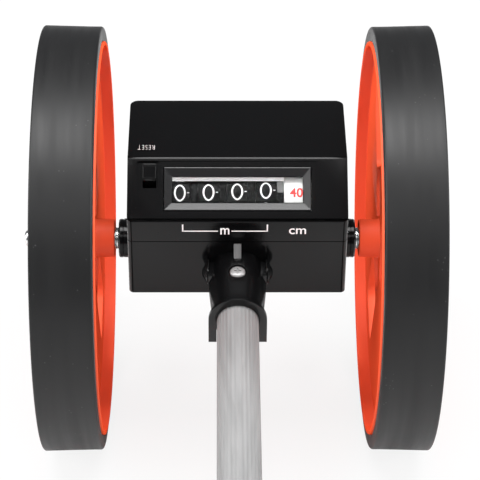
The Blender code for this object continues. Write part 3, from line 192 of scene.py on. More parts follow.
def shaped(name, base, cuts=(), joins=(), common=(), bevel=0.0, segments=3, limit=40, clamp=True):
    """Cut, join and intersect meshes with Booleans, round the edges, and return one plain mesh."""
    work = bpy.data.objects.new(name, base)
    bpy.context.scene.collection.objects.link(work)
    tools = []
    for operation, forms in (("UNION", joins), ("DIFFERENCE", cuts), ("INTERSECT", common)):
        for form in forms:
            tool = bpy.data.objects.new(name + "_tool", form)
            bpy.context.scene.collection.objects.link(tool)
            tools.append(tool)
            modifier = work.modifiers.new(operation.lower(), "BOOLEAN")
            modifier.operation = operation
            modifier.solver = "MANIFOLD"
            modifier.object = tool
    if bevel:
        add_bevel(work, bevel, segments, limit, clamp)
    mesh = plain_mesh(work, name)
    for tool in tools:
        bpy.data.objects.remove(tool, do_unlink=True)
    return mesh


def plain_mesh(holder, name):
    """The evaluated mesh of an object, which is then removed."""
    bpy.context.view_layer.update()
    mesh = bpy.data.meshes.new_from_object(holder.evaluated_get(bpy.context.evaluated_depsgraph_get()))
    bpy.data.objects.remove(holder, do_unlink=True)
    mesh.name = name
    return mesh


def add_bevel(work, width, segments, limit, clamp):
    modifier = work.modifiers.new("rounded_edges", "BEVEL")
    modifier.width = width
    modifier.segments = segments
    modifier.limit_method = "ANGLE"
    modifier.angle_limit = math.radians(limit)
    modifier.use_clamp_overlap = clamp
    modifier.miter_outer = "MITER_ARC"


def make_piece(name, mesh, material, body, replaced=(), lean=True, angle=32):
    """Seat a finished mesh: lean it over, colour it, and let it ride on its body."""
    if lean:
        mesh.transform(TOOL)
    smooth(mesh, angle)
    mesh.materials.clear()
    mesh.materials.append(material)
    made = bpy.data.objects.new(name, mesh)
    bpy.context.scene.collection.objects.link(made)
    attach(made, body)
    if replaced:
        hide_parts(*replaced)
    return made


# %% A helper for node trees
def add_node(tree, kind, inputs=(), **options):
    """Add a node, set its options, then give each named input a value or a link."""
    node = tree.nodes.new(kind)
    for option, value in options.items():
        setattr(node, option, value)
    for name, value in dict(inputs).items():
        if isinstance(value, bpy.types.NodeSocket):
            tree.links.new(value, node.inputs[name])
        else:
            node.inputs[name].default_value = value
    return node


def math_node(tree, operation, *values):
    return add_node(tree, "ShaderNodeMath", dict(enumerate(values)), operation=operation).outputs[0]


def grey(value):
    return (value, value, value, 1)


# %% [markdown]
# The photograph looks down from behind at about 32 degrees, with a long lens.
# A long lens keeps the wheels nearly parallel, which is what shows their inner sides so evenly.
# The stage is a pale floor and a white surround; a broad lamp above draws the soft band on the tyres.

# %% Camera
def add_camera():
    data = bpy.data.cameras.new("camera")
    data.sensor_width = 36.0
    data.lens = 155.5
    data.clip_start = 0.01
    camera = bpy.data.objects.new("camera", data)
    bpy.context.scene.collection.objects.link(camera)
    view = math.radians(50) + TILT
    towards = Vector((0, -math.sin(view), math.cos(view)))
    up = Vector((0, math.cos(view), math.sin(view)))
    camera.location = AXLE + Vector((-6.9 * MM, 0, 0)) - up * 0.75 * MM + towards * 0.780
    yaw = math.atan2(21.5, 2074.0)
    forward = (-towards * math.cos(yaw) + Vector((1, 0, 0)) * math.sin(yaw)).normalized()
    right = forward.cross(up).normalized()
    camera.matrix_world = Matrix.Translation(camera.location) @ axes(right, up, -forward)
    bpy.context.scene.camera = camera
    return camera


camera = add_camera()
print("camera stands", round(camera.location.z, 3), "m above the floor")

# %% Floor, surround and lamps
def add_surround():
    """White to the camera, and a dim cool light for everything else."""
    world = bpy.data.worlds.new("surround")
    bpy.context.scene.world = world
    world.use_nodes = True
    tree = world.node_tree
    tree.nodes.clear()
    path = add_node(tree, "ShaderNodeLightPath")
    seen = add_node(tree, "ShaderNodeBackground", {"Color": grey(1)})
    lit = add_node(tree, "ShaderNodeBackground", {"Color": (0.93, 0.96, 1.0, 1), "Strength": 0.20})
    mix = add_node(tree, "ShaderNodeMixShader",
                   {"Fac": path.outputs["Is Camera Ray"], 1: lit.outputs[0], 2: seen.outputs[0]})
    add_node(tree, "ShaderNodeOutputWorld", {"Surface": mix.outputs[0]})


def add_floor(half=3.0):
    """Studio paper that nearly glows white to the camera and still takes the shadow."""
    shape = bmesh.new()
    corners = ((-half, -half), (half, -half), (half, half), (-half, half))
    shape.faces.new([shape.verts.new((x, y, 0)) for x, y in corners])
    floor = bpy.data.objects.new("floor", mesh_from(shape, "floor"))
    bpy.context.scene.collection.objects.link(floor)
    paper = bpy.data.materials.new("studio_paper")
    paper.use_nodes = True
    tree = paper.node_tree
    shader = tree.nodes["Principled BSDF"]
    shader.inputs["Base Color"].default_value = grey(0.60)
    shader.inputs["Roughness"].default_value = 0.85
    path = add_node(tree, "ShaderNodeLightPath")
    seen = math_node(tree, "MAXIMUM", path.outputs["Is Camera Ray"], path.outputs["Is Transmission Ray"])
    glow = add_node(tree, "ShaderNodeEmission")
    mix = add_node(tree, "ShaderNodeMixShader",
                   {"Fac": math_node(tree, "MULTIPLY", seen, 0.84), 1: shader.outputs[0], 2: glow.outputs[0]})
    tree.links.new(mix.outputs[0], tree.nodes["Material Output"].inputs["Surface"])
    floor.data.materials.append(paper)


def add_lamp(name, place, aim, size, power, mirrored=True):
    """A flat lamp; one that isn't mirrored lights a surface without showing in its gloss."""
    data = bpy.data.lights.new(name, "AREA")
    data.shape = "RECTANGLE"
    data.size, data.size_y = size
    data.energy = power
    lamp = bpy.data.objects.new(name, data)
    lamp.location = place
    lamp.rotation_euler = (Vector(aim) - Vector(place)).to_track_quat("-Z", "Y").to_euler()
    bpy.context.scene.collection.objects.link(lamp)
    lamp.visible_glossy = mirrored


add_surround()
add_floor()
PART_MIDDLE = (0, 0.2, 0.08)
add_lamp("overhead_lamp", (0.0, 0.145, 1.15), (0, 0.19, 0.08), (1.3, 0.42), 20.0)
add_lamp("front_lamp", (-0.2, -0.79, 1.14), PART_MIDDLE, (1.2, 0.26), 3.0)
add_lamp("fill_lamp", (-0.1, -1.15, 0.85), PART_MIDDLE, (1.0, 0.8), 17.0, mirrored=False)
add_lamp("left_high_lamp", (-0.85, -0.20, 1.15), PART_MIDDLE, (0.45, 0.45), 1.9)
add_lamp("right_high_lamp", (0.85, -0.20, 1.15), PART_MIDDLE, (0.45, 0.45), 0.35)
add_lamp("left_lamp", (-1.2, 0.15, 0.55), PART_MIDDLE, (0.7, 0.7), 13.0)
add_lamp("right_lamp", (1.2, 0.15, 0.55), PART_MIDDLE, (0.7, 0.7), 13.0)
bpy.context.scene.view_settings.view_transform = "Standard"
print("stage set with seven lamps")

# %% [markdown]
# Three effects return in the finishes: a fine grain that breaks up gloss, dust over a mottled colour,
# and streaks drawn along a surface. Each is a node group with named inputs, so that rubber, plastic and
# metal can share it at different strengths.

# %% Shared shader effects
def group_inputs(tree, inputs, outputs):
    for name, kind, value in inputs:
        socket = tree.interface.new_socket(name, in_out="INPUT", socket_type=kind)
        if value is not None:
            socket.default_value = value
    for name, kind in outputs:
        tree.interface.new_socket(name, in_out="OUTPUT", socket_type=kind)
    return tree.nodes.new("NodeGroupInput"), tree.nodes.new("NodeGroupOutput")


def make_grain_group():
    """Fine surface grain: a height for bump and a value that varies roughness."""
    tree = bpy.data.node_groups.new("moulded_grain", "ShaderNodeTree")
    given, result = group_inputs(
        tree,
        [("Scale", "NodeSocketFloat", 900.0), ("Spread", "NodeSocketFloat", 0.1),
         ("Roughness", "NodeSocketFloat", 0.4)],
        [("Height", "NodeSocketFloat"), ("Roughness", "NodeSocketFloat")],
    )
    place = add_node(tree, "ShaderNodeTexCoord").outputs["Object"]
    fine = add_node(tree, "ShaderNodeTexNoise",
                    {"Vector": place, "Scale": given.outputs["Scale"], "Detail": 6.0})
    broad = add_node(tree, "ShaderNodeTexNoise", {"Vector": place, "Scale": 38.0, "Detail": 3.0})
    centred = math_node(tree, "SUBTRACT", broad.outputs["Fac"], 0.5)
    varied = math_node(tree, "MULTIPLY_ADD", centred, given.outputs["Spread"], given.outputs["Roughness"])
    tree.links.new(fine.outputs["Fac"], result.inputs["Height"])
    tree.links.new(varied, result.inputs["Roughness"])
    return tree


def make_speck_group():
    """Dust specks and broad mottling over a base colour."""
    tree = bpy.data.node_groups.new("dust_and_mottle", "ShaderNodeTree")
    given, result = group_inputs(
        tree,
        [("Colour", "NodeSocketColor", grey(0.1)), ("Mottle", "NodeSocketColor", grey(0.2)),
         ("Dust", "NodeSocketColor", grey(0.5)), ("Amount", "NodeSocketFloat", 0.5)],
        [("Colour", "NodeSocketColor")],
    )
    place = add_node(tree, "ShaderNodeTexCoord").outputs["Object"]
    broad = add_node(tree, "ShaderNodeTexNoise", {"Vector": place, "Scale": 30.0, "Detail": 4.0})
    cells = add_node(tree, "ShaderNodeTexVoronoi", {"Vector": place, "Scale": 520.0})
    rare = add_node(tree, "ShaderNodeTexNoise", {"Vector": place, "Scale": 120.0})
    small = math_node(tree, "LESS_THAN", cells.outputs["Distance"], 0.12)
    some = math_node(tree, "GREATER_THAN", rare.outputs["Fac"], 0.62)
    speck = math_node(tree, "MULTIPLY", math_node(tree, "MULTIPLY", small, some), given.outputs["Amount"])
    base = add_node(tree, "ShaderNodeMix", {"Factor": broad.outputs["Fac"], "A": given.outputs["Colour"],
                                            "B": given.outputs["Mottle"]}, data_type="RGBA")
    dusty = add_node(tree, "ShaderNodeMix", {"Factor": speck, "A": base.outputs["Result"],
                                             "B": given.outputs["Dust"]}, data_type="RGBA")
    tree.links.new(dusty.outputs["Result"], result.inputs["Colour"])
    return tree


def make_streak_group():
    """Noise drawn out into streaks: a height for bump, colour or roughness."""
    tree = bpy.data.node_groups.new("drawn_streaks", "ShaderNodeTree")
    given, result = group_inputs(
        tree,
        [("Stretch", "NodeSocketVector", (1, 1, 1)), ("Turn", "NodeSocketVector", (0, 0, 0)),
         ("Scale", "NodeSocketFloat", 300.0)],
        [("Height", "NodeSocketFloat")],
    )
    place = add_node(tree, "ShaderNodeTexCoord").outputs["Object"]
    lay = add_node(tree, "ShaderNodeMapping",
                   {"Vector": place, "Rotation": given.outputs["Turn"], "Scale": given.outputs["Stretch"]})
    streak = add_node(tree, "ShaderNodeTexNoise",
                      {"Vector": lay.outputs["Vector"], "Scale": given.outputs["Scale"], "Detail": 5.0})
    tree.links.new(streak.outputs["Fac"], result.inputs["Height"])
    return tree


GRAIN = make_grain_group()
SPECKS = make_speck_group()
STREAKS = make_streak_group()
print("shared effects:", [group.name for group in (GRAIN, SPECKS, STREAKS)])

# %% Materials
GRAIN_DEPTH = 0.04 * MM


def set_relief(tree, height, strength):
    relief = add_node(tree, "ShaderNodeBump",
                      {"Height": height, "Strength": strength, "Distance": GRAIN_DEPTH})
    tree.links.new(relief.outputs["Normal"], tree.nodes["Principled BSDF"].inputs["Normal"])


def finish(name, colour, mottle, roughness=0.4, spread=0.08, metallic=0.0, bump=0.15, grain=900.0,
           dust=0.0, dust_colour=(0.4, 0.4, 0.4), specular=0.5):
    """A Principled finish whose colour, gloss and grain all vary over the surface."""
    material = bpy.data.materials.new(name)
    material.use_nodes = True
    tree = material.node_tree
    shader = tree.nodes["Principled BSDF"]
    shader.inputs["Metallic"].default_value = metallic
    shader.inputs["Specular IOR Level"].default_value = specular
    specks = add_node(tree, "ShaderNodeGroup", {
        "Colour": (*colour, 1), "Mottle": (*mottle, 1), "Dust": (*dust_colour, 1), "Amount": dust},
                      node_tree=SPECKS)
    surface = add_node(tree, "ShaderNodeGroup", {"Scale": grain, "Spread": spread, "Roughness": roughness},
                       node_tree=GRAIN)
    tree.links.new(specks.outputs["Colour"], shader.inputs["Base Color"])
    tree.links.new(surface.outputs["Roughness"], shader.inputs["Roughness"])
    set_relief(tree, surface.outputs["Height"], bump)
    return material


RED = finish("wheel_plastic", (0.82, 0.088, 0.030), (0.85, 0.102, 0.038), 0.55, 0.06, bump=0.08, grain=700.0)
HOUSING = finish("housing_plastic", (0.0016, 0.0016, 0.0018), (0.0026, 0.0026, 0.0028), 0.17, 0.04, bump=0.06,
                 grain=1500.0, dust=0.10, dust_colour=(0.06, 0.06, 0.06), specular=0.23)
NECK_BLACK = finish("neck_plastic", (0.0016, 0.0016, 0.0018), (0.0024, 0.0024, 0.0026), 0.26, 0.05, bump=0.06,
                    grain=1500.0, dust=0.08, dust_colour=(0.05, 0.05, 0.05), specular=0.34)
BEZEL = finish("bezel_plastic", (0.003, 0.003, 0.0033), (0.0045, 0.0045, 0.005), 0.15, 0.03, bump=0.1,
               grain=1800.0,
               specular=0.42)
DRUM_BLACK = finish("drum_black", (0.003, 0.003, 0.0033), (0.0045, 0.0045, 0.005), 0.5, 0.06, bump=0.1,
                    specular=0.14)
DRUM_WHITE = finish("drum_white", (0.86, 0.86, 0.84), (0.80, 0.80, 0.79), 0.45, 0.06, bump=0.1)
GEAR = finish("gear_plastic", (0.62, 0.62, 0.58), (0.70, 0.70, 0.66), 0.45, 0.08, bump=0.1)
PLATE = finish("counter_frame_plastic", (0.05, 0.05, 0.052), (0.07, 0.07, 0.072), 0.5, 0.08, bump=0.1)
STEEL = finish("plated_steel", (0.62, 0.62, 0.62), (0.70, 0.70, 0.70), 0.24, 0.10, metallic=1.0, bump=0.05,
               grain=1200.0)
BRIGHT_SCREW = finish("bright_screw", (0.26, 0.26, 0.26), (0.32, 0.32, 0.32), 0.40, 0.08, metallic=0.45,
                      bump=0.05,
                      grain=1200.0)
SPRING_STEEL = finish("spring_steel", (0.13, 0.13, 0.13), (0.17, 0.17, 0.17), 0.42, 0.08, metallic=0.6,
                      bump=0.05)
COLLAR = finish("collar_plastic", (0.006, 0.006, 0.0065), (0.010, 0.010, 0.0105), 0.42, 0.1, bump=0.25,
                grain=1300.0,
                dust=0.2, dust_colour=(0.10, 0.10, 0.10))
GRIP = finish("grip_rubber", (0.008, 0.008, 0.0085), (0.013, 0.013, 0.0135), 0.68, 0.1, bump=0.6,
              grain=1600.0,
              dust=0.3, dust_colour=(0.10, 0.10, 0.10))
WHITE_INK = finish("white_ink", (0.90, 0.90, 0.90), (0.84, 0.84, 0.84), 0.5, 0.05, bump=0.05)
RED_INK = finish("red_ink", (0.80, 0.020, 0.018), (0.84, 0.030, 0.024), 0.5, 0.05, bump=0.05)
PLATE_GREY = finish("carry_plate_grey", (0.10, 0.10, 0.10), (0.14, 0.14, 0.14), 0.5, 0.05, bump=0.05)
# Pale strip: a painted reflection of the light caught in the window lens's top edge.
LENS_EDGE_GLINT = finish("painted_lens_edge_glint", (0.80, 0.80, 0.80), (0.88, 0.88, 0.88), 0.5, 0.05, bump=0.05)


def make_tyre_rubber():
    """Dark rubber with fine streaks round the tread, where the mould and the road have drawn them."""
    material = finish("tyre_rubber", (0.0045, 0.0045, 0.0047), (0.0085, 0.0085, 0.0088), bump=0.0,
                      dust=0.30, dust_colour=(0.12, 0.12, 0.12), specular=0.30)
    tree = material.node_tree
    streak = add_node(tree, "ShaderNodeGroup", {"Stretch": (1.0, 0.05, 0.05), "Scale": 260.0},
                      node_tree=STREAKS).outputs["Height"]
    gloss = add_node(tree, "ShaderNodeMapRange", {"Value": streak, "To Min": 0.28, "To Max": 0.62})
    tree.links.new(gloss.outputs["Result"], tree.nodes["Principled BSDF"].inputs["Roughness"])
    set_relief(tree, streak, 0.35)
    return material


def calm_grazing_gloss(material):
    """Take the gloss off where a surface is seen edge-on, so the moulded colour stays full."""
    tree = material.node_tree
    facing = add_node(tree, "ShaderNodeLayerWeight").outputs["Facing"]
    fade = add_node(tree, "ShaderNodeMapRange",
                    {"Value": facing, "From Min": 0.2, "From Max": 0.8, "To Min": 0.30, "To Max": 0.0})
    tree.links.new(fade.outputs["Result"], tree.nodes["Principled BSDF"].inputs["Specular IOR Level"])


TYRE = make_tyre_rubber()
calm_grazing_gloss(RED)


def make_aluminium():
    """Drawn aluminium: bright metal with streaks that run along the tube."""
    material = finish("drawn_aluminium", (0.30, 0.30, 0.30), (0.34, 0.34, 0.34), 0.46, 0.10, metallic=0.25,
                      bump=0.0)
    tree = material.node_tree
    streak = add_node(tree, "ShaderNodeGroup",
                      {"Stretch": (1.0, 0.015, 1.0), "Turn": (-TILT, 0, 0), "Scale": 380.0},
                      node_tree=STREAKS).outputs["Height"]
    ramp = add_node(tree, "ShaderNodeValToRGB", {"Fac": streak})
    for element, position, shade in zip(ramp.color_ramp.elements, (0.32, 0.68), (0.205, 0.255)):
        element.position = position
        element.color = grey(shade)
    tree.links.new(ramp.outputs["Color"], tree.nodes["Principled BSDF"].inputs["Base Color"])
    set_relief(tree, streak, 0.25)
    return material


def make_glass():
    """Clear plastic for the window, with a faint unevenness in its polish."""
    material = finish("window_clear", (0.97, 0.98, 0.98), (0.95, 0.96, 0.96), 0.03, 0.02, bump=0.0)
    shader = material.node_tree.nodes["Principled BSDF"]
    shader.inputs["Transmission Weight"].default_value = 1.0
    shader.inputs["IOR"].default_value = 1.2
    return material


ALUMINIUM = make_aluminium()
CLEAR = make_glass()
print("finishes:", len(bpy.data.materials))

# %% [markdown]
# Geometry Nodes make what repeats. One helper opens a tree with named inputs, and one bakes its result
# to a plain mesh, because the exported model keeps no live modifiers and no instances.

# %% Geometry node helpers
def new_geometry_tree(name, inputs):
    tree = bpy.data.node_groups.new(name, "GeometryNodeTree")
    for label, kind, value in inputs:
        socket = tree.interface.new_socket(label, in_out="INPUT", socket_type=kind)
        socket.default_value = value
    tree.interface.new_socket("Geometry", in_out="OUTPUT", socket_type="NodeSocketGeometry")
    return tree, tree.nodes.new("NodeGroupInput"), tree.nodes.new("NodeGroupOutput")


def close_tree(tree, result, last, material):
    """End a tree in Realize Instances and Set Material."""
    real = add_node(tree, "GeometryNodeRealizeInstances", {"Geometry": last})
    paint = add_node(tree, "GeometryNodeSetMaterial",
                     {"Geometry": real.outputs["Geometry"], "Material": material})
    tree.links.new(paint.outputs["Geometry"], result.inputs["Geometry"])


def bake_tree(tree, name, values=None):
    """Run a tree on an empty mesh and return the plain mesh it makes."""
    holder = bpy.data.objects.new(name, bpy.data.meshes.new(name))
    bpy.context.scene.collection.objects.link(holder)
    modifier = holder.modifiers.new("pattern", "NODES")
    modifier.node_group = tree
    for item in tree.interface.items_tree:
        if item.item_type == "SOCKET" and item.in_out == "INPUT" and values and item.name in values:
            modifier[item.identifier] = values[item.name]
    return plain_mesh(holder, name)


def merged(name, *meshes):
    """Several meshes as one, each keeping its own closed bodies."""
    shape = bmesh.new()
    for mesh in meshes:
        shape.from_mesh(mesh)
    mesh = bpy.data.meshes.new(name)
    shape.to_mesh(mesh)
    shape.free()
    return mesh


print("geometry node helpers ready")

# %% [markdown]
# Each tyre is one moulded ring. Its tread is nearly flat and rises a little towards the outer edge,
# so a turned profile with rounded shoulders gives its whole form.

# %% Tyres
HALF_WIDTH = 40.0 * MM
WHEEL_IN, WHEEL_OUT = 49.2 * MM, 71.4 * MM
TYRE_IN, RIM_IN = 49.7 * MM, 49.0 * MM
TYRE_BORE = WHEEL_RADIUS - 5.6 * MM
TREAD = WHEEL_RADIUS - 0.45 * MM


def tyre_outline():
    inner = [(TYRE_IN, TYRE_BORE + 0.3 * MM), (TYRE_IN, WHEEL_RADIUS - 1.5 * MM)]
    shoulder_in = arc((TYRE_IN + 0.9 * MM, TREAD - 0.9 * MM), 0.9 * MM, 180, 90, 6)
    crown = [(TYRE_IN + 3 * MM, TREAD), (TYRE_IN + 11 * MM, TREAD + 0.18 * MM),
             (WHEEL_OUT - 2 * MM, WHEEL_RADIUS - 0.03 * MM)]
    shoulder_out = arc((WHEEL_OUT - 0.7 * MM, WHEEL_RADIUS - 0.7 * MM), 0.7 * MM, 90, 0, 6)
    outer = [(WHEEL_OUT, TYRE_BORE + 0.3 * MM), (WHEEL_OUT - 0.3 * MM, TYRE_BORE)]
    return inner + shoulder_in + crown + shoulder_out + outer + [(TYRE_IN + 0.3 * MM, TYRE_BORE)]


for side, word in ((1, "right"), (-1, "left")):
    outline = [(side * along, radius) for along, radius in tyre_outline()]
    make_piece(f"{word}_tyre_tread", turned("tyre", outline, 256), TYRE, "wheel_set", [f"{word}_tyre"],
               angle=50)
print("tyres turned with", len(tyre_outline()), "profile points")

# %% [markdown]
# The wheel behind each tyre is one red moulding: a rim band, a thick web with three long openings, and a hub.
# It is turned as a whole, then the openings are cut, and every moulded edge is rounded.
# In a studio a black card between wheel and housing keeps red out of the black plastic. Here the rims are
# simply left out of reflections.

# %% Rims
RIM_RADIUS = TYRE_BORE - FIT
WEB_IN = WHEEL_IN + 4.3 * MM
WEB_OUT = WEB_IN + 4.0 * MM
HUB_RADIUS = 7.0 * MM
HUB_IN = 45.75 * MM
AXLE_BORE = 3.3 * MM


def rim_outline():
    band = RIM_RADIUS - 2.0 * MM
    edge_in, edge_out = RIM_IN, WHEEL_OUT - 0.4 * MM
    draft = 0.35 * MM
    outline = [
        (edge_in, RIM_RADIUS), (edge_out, RIM_RADIUS), (edge_out, band + draft), (WEB_OUT, band),
        (WEB_OUT, HUB_RADIUS + draft), (edge_out, HUB_RADIUS), (edge_out, AXLE_BORE), (HUB_IN, AXLE_BORE),
        (HUB_IN, HUB_RADIUS), (WEB_IN, HUB_RADIUS + draft), (WEB_IN, band), (edge_in, band + draft),
    ]
    return rounded(outline, 0.45 * MM, 3)


def slot_form(side, number):
    outline = rounded([(62, 12), (27, 12), (27, -12), (62, -12)], 4.5, 8)
    outline = [(y * MM, z * MM) for y, z in outline]
    low, high = sorted((side * (WEB_IN - 3 * MM), side * (WEB_OUT + 3 * MM)))
    mesh = prism("slot", outline, low, high)
    mesh.transform(Matrix.Rotation(math.radians(50 + 120 * number), 4, "X"))
    return mesh


def pocket_form(side, number):
    """A shallow pocket between the hub and each opening, on the inner face of the web."""
    corners = [(26.2, 12, 8.0), (8.4, 12, 1.5), (8.4, -12, 1.5), (26.2, -12, 8.0)]
    outline = []
    for y, z, radius in corners:
        centre = (y - math.copysign(radius, y - 17), z - math.copysign(radius, z))
        start = math.degrees(math.atan2(z, y - 17)) // 90 * 90
        outline.append((start % 360, arc(centre, radius, start, start + 90, 8)))
    points = [(y * MM, z * MM) for start, part in sorted(outline) for y, z in part]
    low, high = sorted((side * (WEB_IN - 3 * MM), side * (WEB_IN + 1.2 * MM)))
    mesh = prism("pocket", points, low, high)
    mesh.transform(Matrix.Rotation(math.radians(50 + 120 * number), 4, "X"))
    return mesh


for side, word in ((1, "right"), (-1, "left")):
    base = turned("rim", [(side * along, radius) for along, radius in rim_outline()], 192)
    cuts = [form(side, number) for form in (slot_form, pocket_form) for number in range(3)]
    mesh = shaped("rim", base, cuts, bevel=0.35 * MM, segments=2, limit=60)
    rim = make_piece(f"{word}_rim_moulding", mesh, RED, "wheel_set", [f"{word}_rim"], angle=35)
    rim.visible_glossy = False
print("rims cut with three openings each")

# %% [markdown]
# The axle, its nuts, the washers and the bushes are small turned pieces.
# A nut's corners are turned off at a slant on the real thing, which is what catches the light.

# %% Axle, nuts, washers and bushes
def nut_mesh(side):
    start = WHEEL_OUT + FIT
    stop = start + 5.0 * MM
    corner = 10.0 * MM / math.sqrt(3)
    hexagon = [(corner * math.cos(math.pi * n / 3), corner * math.sin(math.pi * n / 3)) for n in range(6)]
    base = prism("nut", hexagon, *sorted((side * start, side * stop)))
    cone = turned("cone", [(side * (start - 2 * MM), 0), (side * (start - 2 * MM), corner + 2.0 * MM),
                           (side * (stop - 0.7 * MM), corner + 0.25 * MM),
                           (side * (stop + 0.1 * MM), 4.7 * MM),
                           (side * (stop + 0.1 * MM), 0)], 72)
    mesh = shaped("nut", base, common=[cone])
    hole = rod("hole", *sorted((side * (start - MM), side * (stop + MM))), AXLE_BORE - 0.05 * MM)
    return shaped("nut", mesh, [hole], bevel=0.2 * MM, segments=2, limit=50)


AXLE_END = 79.5
half_axle = [(AXLE_END, 0), (AXLE_END, 2.2), (AXLE_END - 0.5, 2.85), (AXLE_END - 0.9, 3.0)]
axle_outline = in_mm([(-along, radius) for along, radius in half_axle] + half_axle[::-1])
make_piece("axle_bar", turned("axle", axle_outline, 64), STEEL, "wheel_set", ["axle"])
for side, word in ((1, "right"), (-1, "left")):
    make_piece(f"{word}_nut", nut_mesh(side), STEEL, "wheel_set", [f"{word}_axle_nut"])
    washer = rounded([(44.5, 3.3), (44.5, 4.0), (45.45, 4.0), (45.45, 3.3)], 0.12, 3)
    washer = [(side * x * MM, r * MM) for x, r in washer]
    make_piece(f"{word}_washer", turned("washer", washer, 64), STEEL, "wheel_set",
               [f"{word}_thrust_washer"])
    bush = [(38.2, 3.3), (38.2, 5.25), (40.3, 5.25), (40.3, 7.0), (40.6, 7.25), (42.2, 7.25), (42.35, 7.1),
            (42.5, 7.1),
            (42.65, 7.25), (43.7, 7.25), (44.2, 6.75), (44.2, 3.3)]
    bush = [(side * x * MM, r * MM) for x, r in bush]
    make_piece(f"{word}_bush", turned("bush", bush, 96), HOUSING, "case", [f"{word}_axle_bush"])
print("axle pieces made")

# %% [markdown]
# The housing is two moulded halves parted at a seam, with a sloped window face.
# Its corners are rounded before it is hollowed and parted, so the seam edges stay crisp as they are on
# the real one.

# %% Housing
SEAM = 16.2 * MM
WALL = 1.8 * MM
BACK, FRONT, UNDER, TOP = -21.4 * MM, 33.9 * MM, -8.4 * MM, 39.1 * MM
RIDGE_Y, LOW_Z = -0.9 * MM, 25.5 * MM
HOUSING_SIDE = [(BACK, UNDER), (FRONT, UNDER), (FRONT, TOP), (RIDGE_Y, TOP), (BACK, LOW_Z)]
FACE_DOWN = (Vector((0, BACK, LOW_Z)) - Vector((0, RIDGE_Y, TOP))).normalized()
FACE_OUT = Vector((0, FACE_DOWN.z, -FACE_DOWN.y))
FACE = Matrix.Translation((0, RIDGE_Y, TOP)) @ axes((-1, 0, 0), FACE_DOWN, FACE_OUT)


def inset(outline, distance):
    points = []
    for index, corner in enumerate(outline):
        before = (Vector(corner) - Vector(outline[index - 1])).normalized()
        after = (Vector(outline[(index + 1) % len(outline)]) - Vector(corner)).normalized()
        first, last = Vector((-before.y, before.x)), Vector((-after.y, after.x))
        middle = (first + last).normalized()
        shift = middle * (distance / middle.dot(last))
        points.append((corner[0] + shift.x, corner[1] + shift.y))
    return points


def upright_rod(x, y, low, high, radius, steps=32):
    mesh = turned("upright", [(low, 0), (low, radius), (high, radius), (high, 0)], steps)
    mesh.transform(Matrix.Translation((x, y, 0)) @ UPRIGHT)
    return mesh


def post_places():
    return [(x * MM, y * MM) for x in (-35.8, 35.8) for y in (-17.2, 29.7)]


def face_box(x0, x1, m0, m1, low, high):
    """A box on the window face: across, down the face, and out of it, in millimetres."""
    return box_mesh("face_box", (-x1 * MM, m0 * MM, low * MM), (-x0 * MM, m1 * MM, high * MM), FACE)


def plan_form():
    """The housing seen from above, with wider corners in front than behind."""
    corners = [(-HALF_WIDTH, FRONT, 3.0), (-HALF_WIDTH, BACK, 1.8), (HALF_WIDTH, BACK, 1.8),
               (HALF_WIDTH, FRONT, 3.0)]
    points = []
    for x, y, radius in corners:
        r = radius * MM
        centre = (x - math.copysign(r, x), y - math.copysign(r, y))
        start = math.degrees(math.atan2(y, x)) // 90 * 90
        points.extend(arc(centre, r, start, start + 90, 12))
    return loft("plan", [[(x, y, z) for x, y in points] for z in (UNDER - 5 * MM, TOP + 5 * MM)])


def hollow_half(lower):
    block = shaped("housing", prism("housing", HOUSING_SIDE, -HALF_WIDTH, HALF_WIDTH), common=[plan_form()])
    base = shaped("housing", block, bevel=1.0 * MM, segments=5, limit=60)
    base = shaped("housing", base, bevel=0.55 * MM, segments=4, limit=25, clamp=False)
    inner = prism("cavity", inset(HOUSING_SIDE, WALL), WALL - HALF_WIDTH, HALF_WIDTH - WALL)
    far = 60 * MM
    if lower:
        waste = box_mesh("waste", (-far, -far, SEAM - 0.15 * MM), (far, far, far))
    else:
        waste = box_mesh("waste", (-far, -far, -far), (far, far, SEAM + 0.15 * MM))
    return shaped("housing", base, [inner, waste])


PIVOT = (-26.0 * MM, 5.5 * MM)


def lug(side):
    cone = [(10.8, 0), (10.8, 4.4), (11.1, 4.25), (12.5, 1.8), (12.8, 1.2), (12.9, 0.6), (12.9, 0)]
    mesh = turned("lug", [(side * x * MM, r * MM) for x, r in cone], 48)
    mesh.transform(Matrix.Translation((0, *PIVOT)))
    foot = prism("foot", [(-20.5 * MM, 1.2 * MM), (-20.5 * MM, 9.8 * MM), (PIVOT[0], 8.8 * MM),
                          (PIVOT[0], 2.2 * MM)],
                 *sorted((side * 10.95 * MM, side * 11.75 * MM)))
    return [mesh, foot]


def lower_shell_mesh():
    posts = [upright_rod(x, y, UNDER + WALL / 2, SEAM - 0.3 * MM, 3.0 * MM) for x, y in post_places()]
    cuts = [upright_rod(x, y, UNDER - MM, SEAM + MM, 1.4 * MM) for x, y in post_places()]
    cuts += [upright_rod(x, y, UNDER - MM, UNDER + 1.7 * MM, 2.4 * MM) for x, y in post_places()]
    cuts.append(rod("axle_hole", -50 * MM, 50 * MM, 5.55 * MM))
    cuts.append(rod("pin_hole", -11.9 * MM, 11.9 * MM, 1.8 * MM, *PIVOT))
    return shaped("lower_shell", hollow_half(True), cuts, posts + lug(1) + lug(-1))


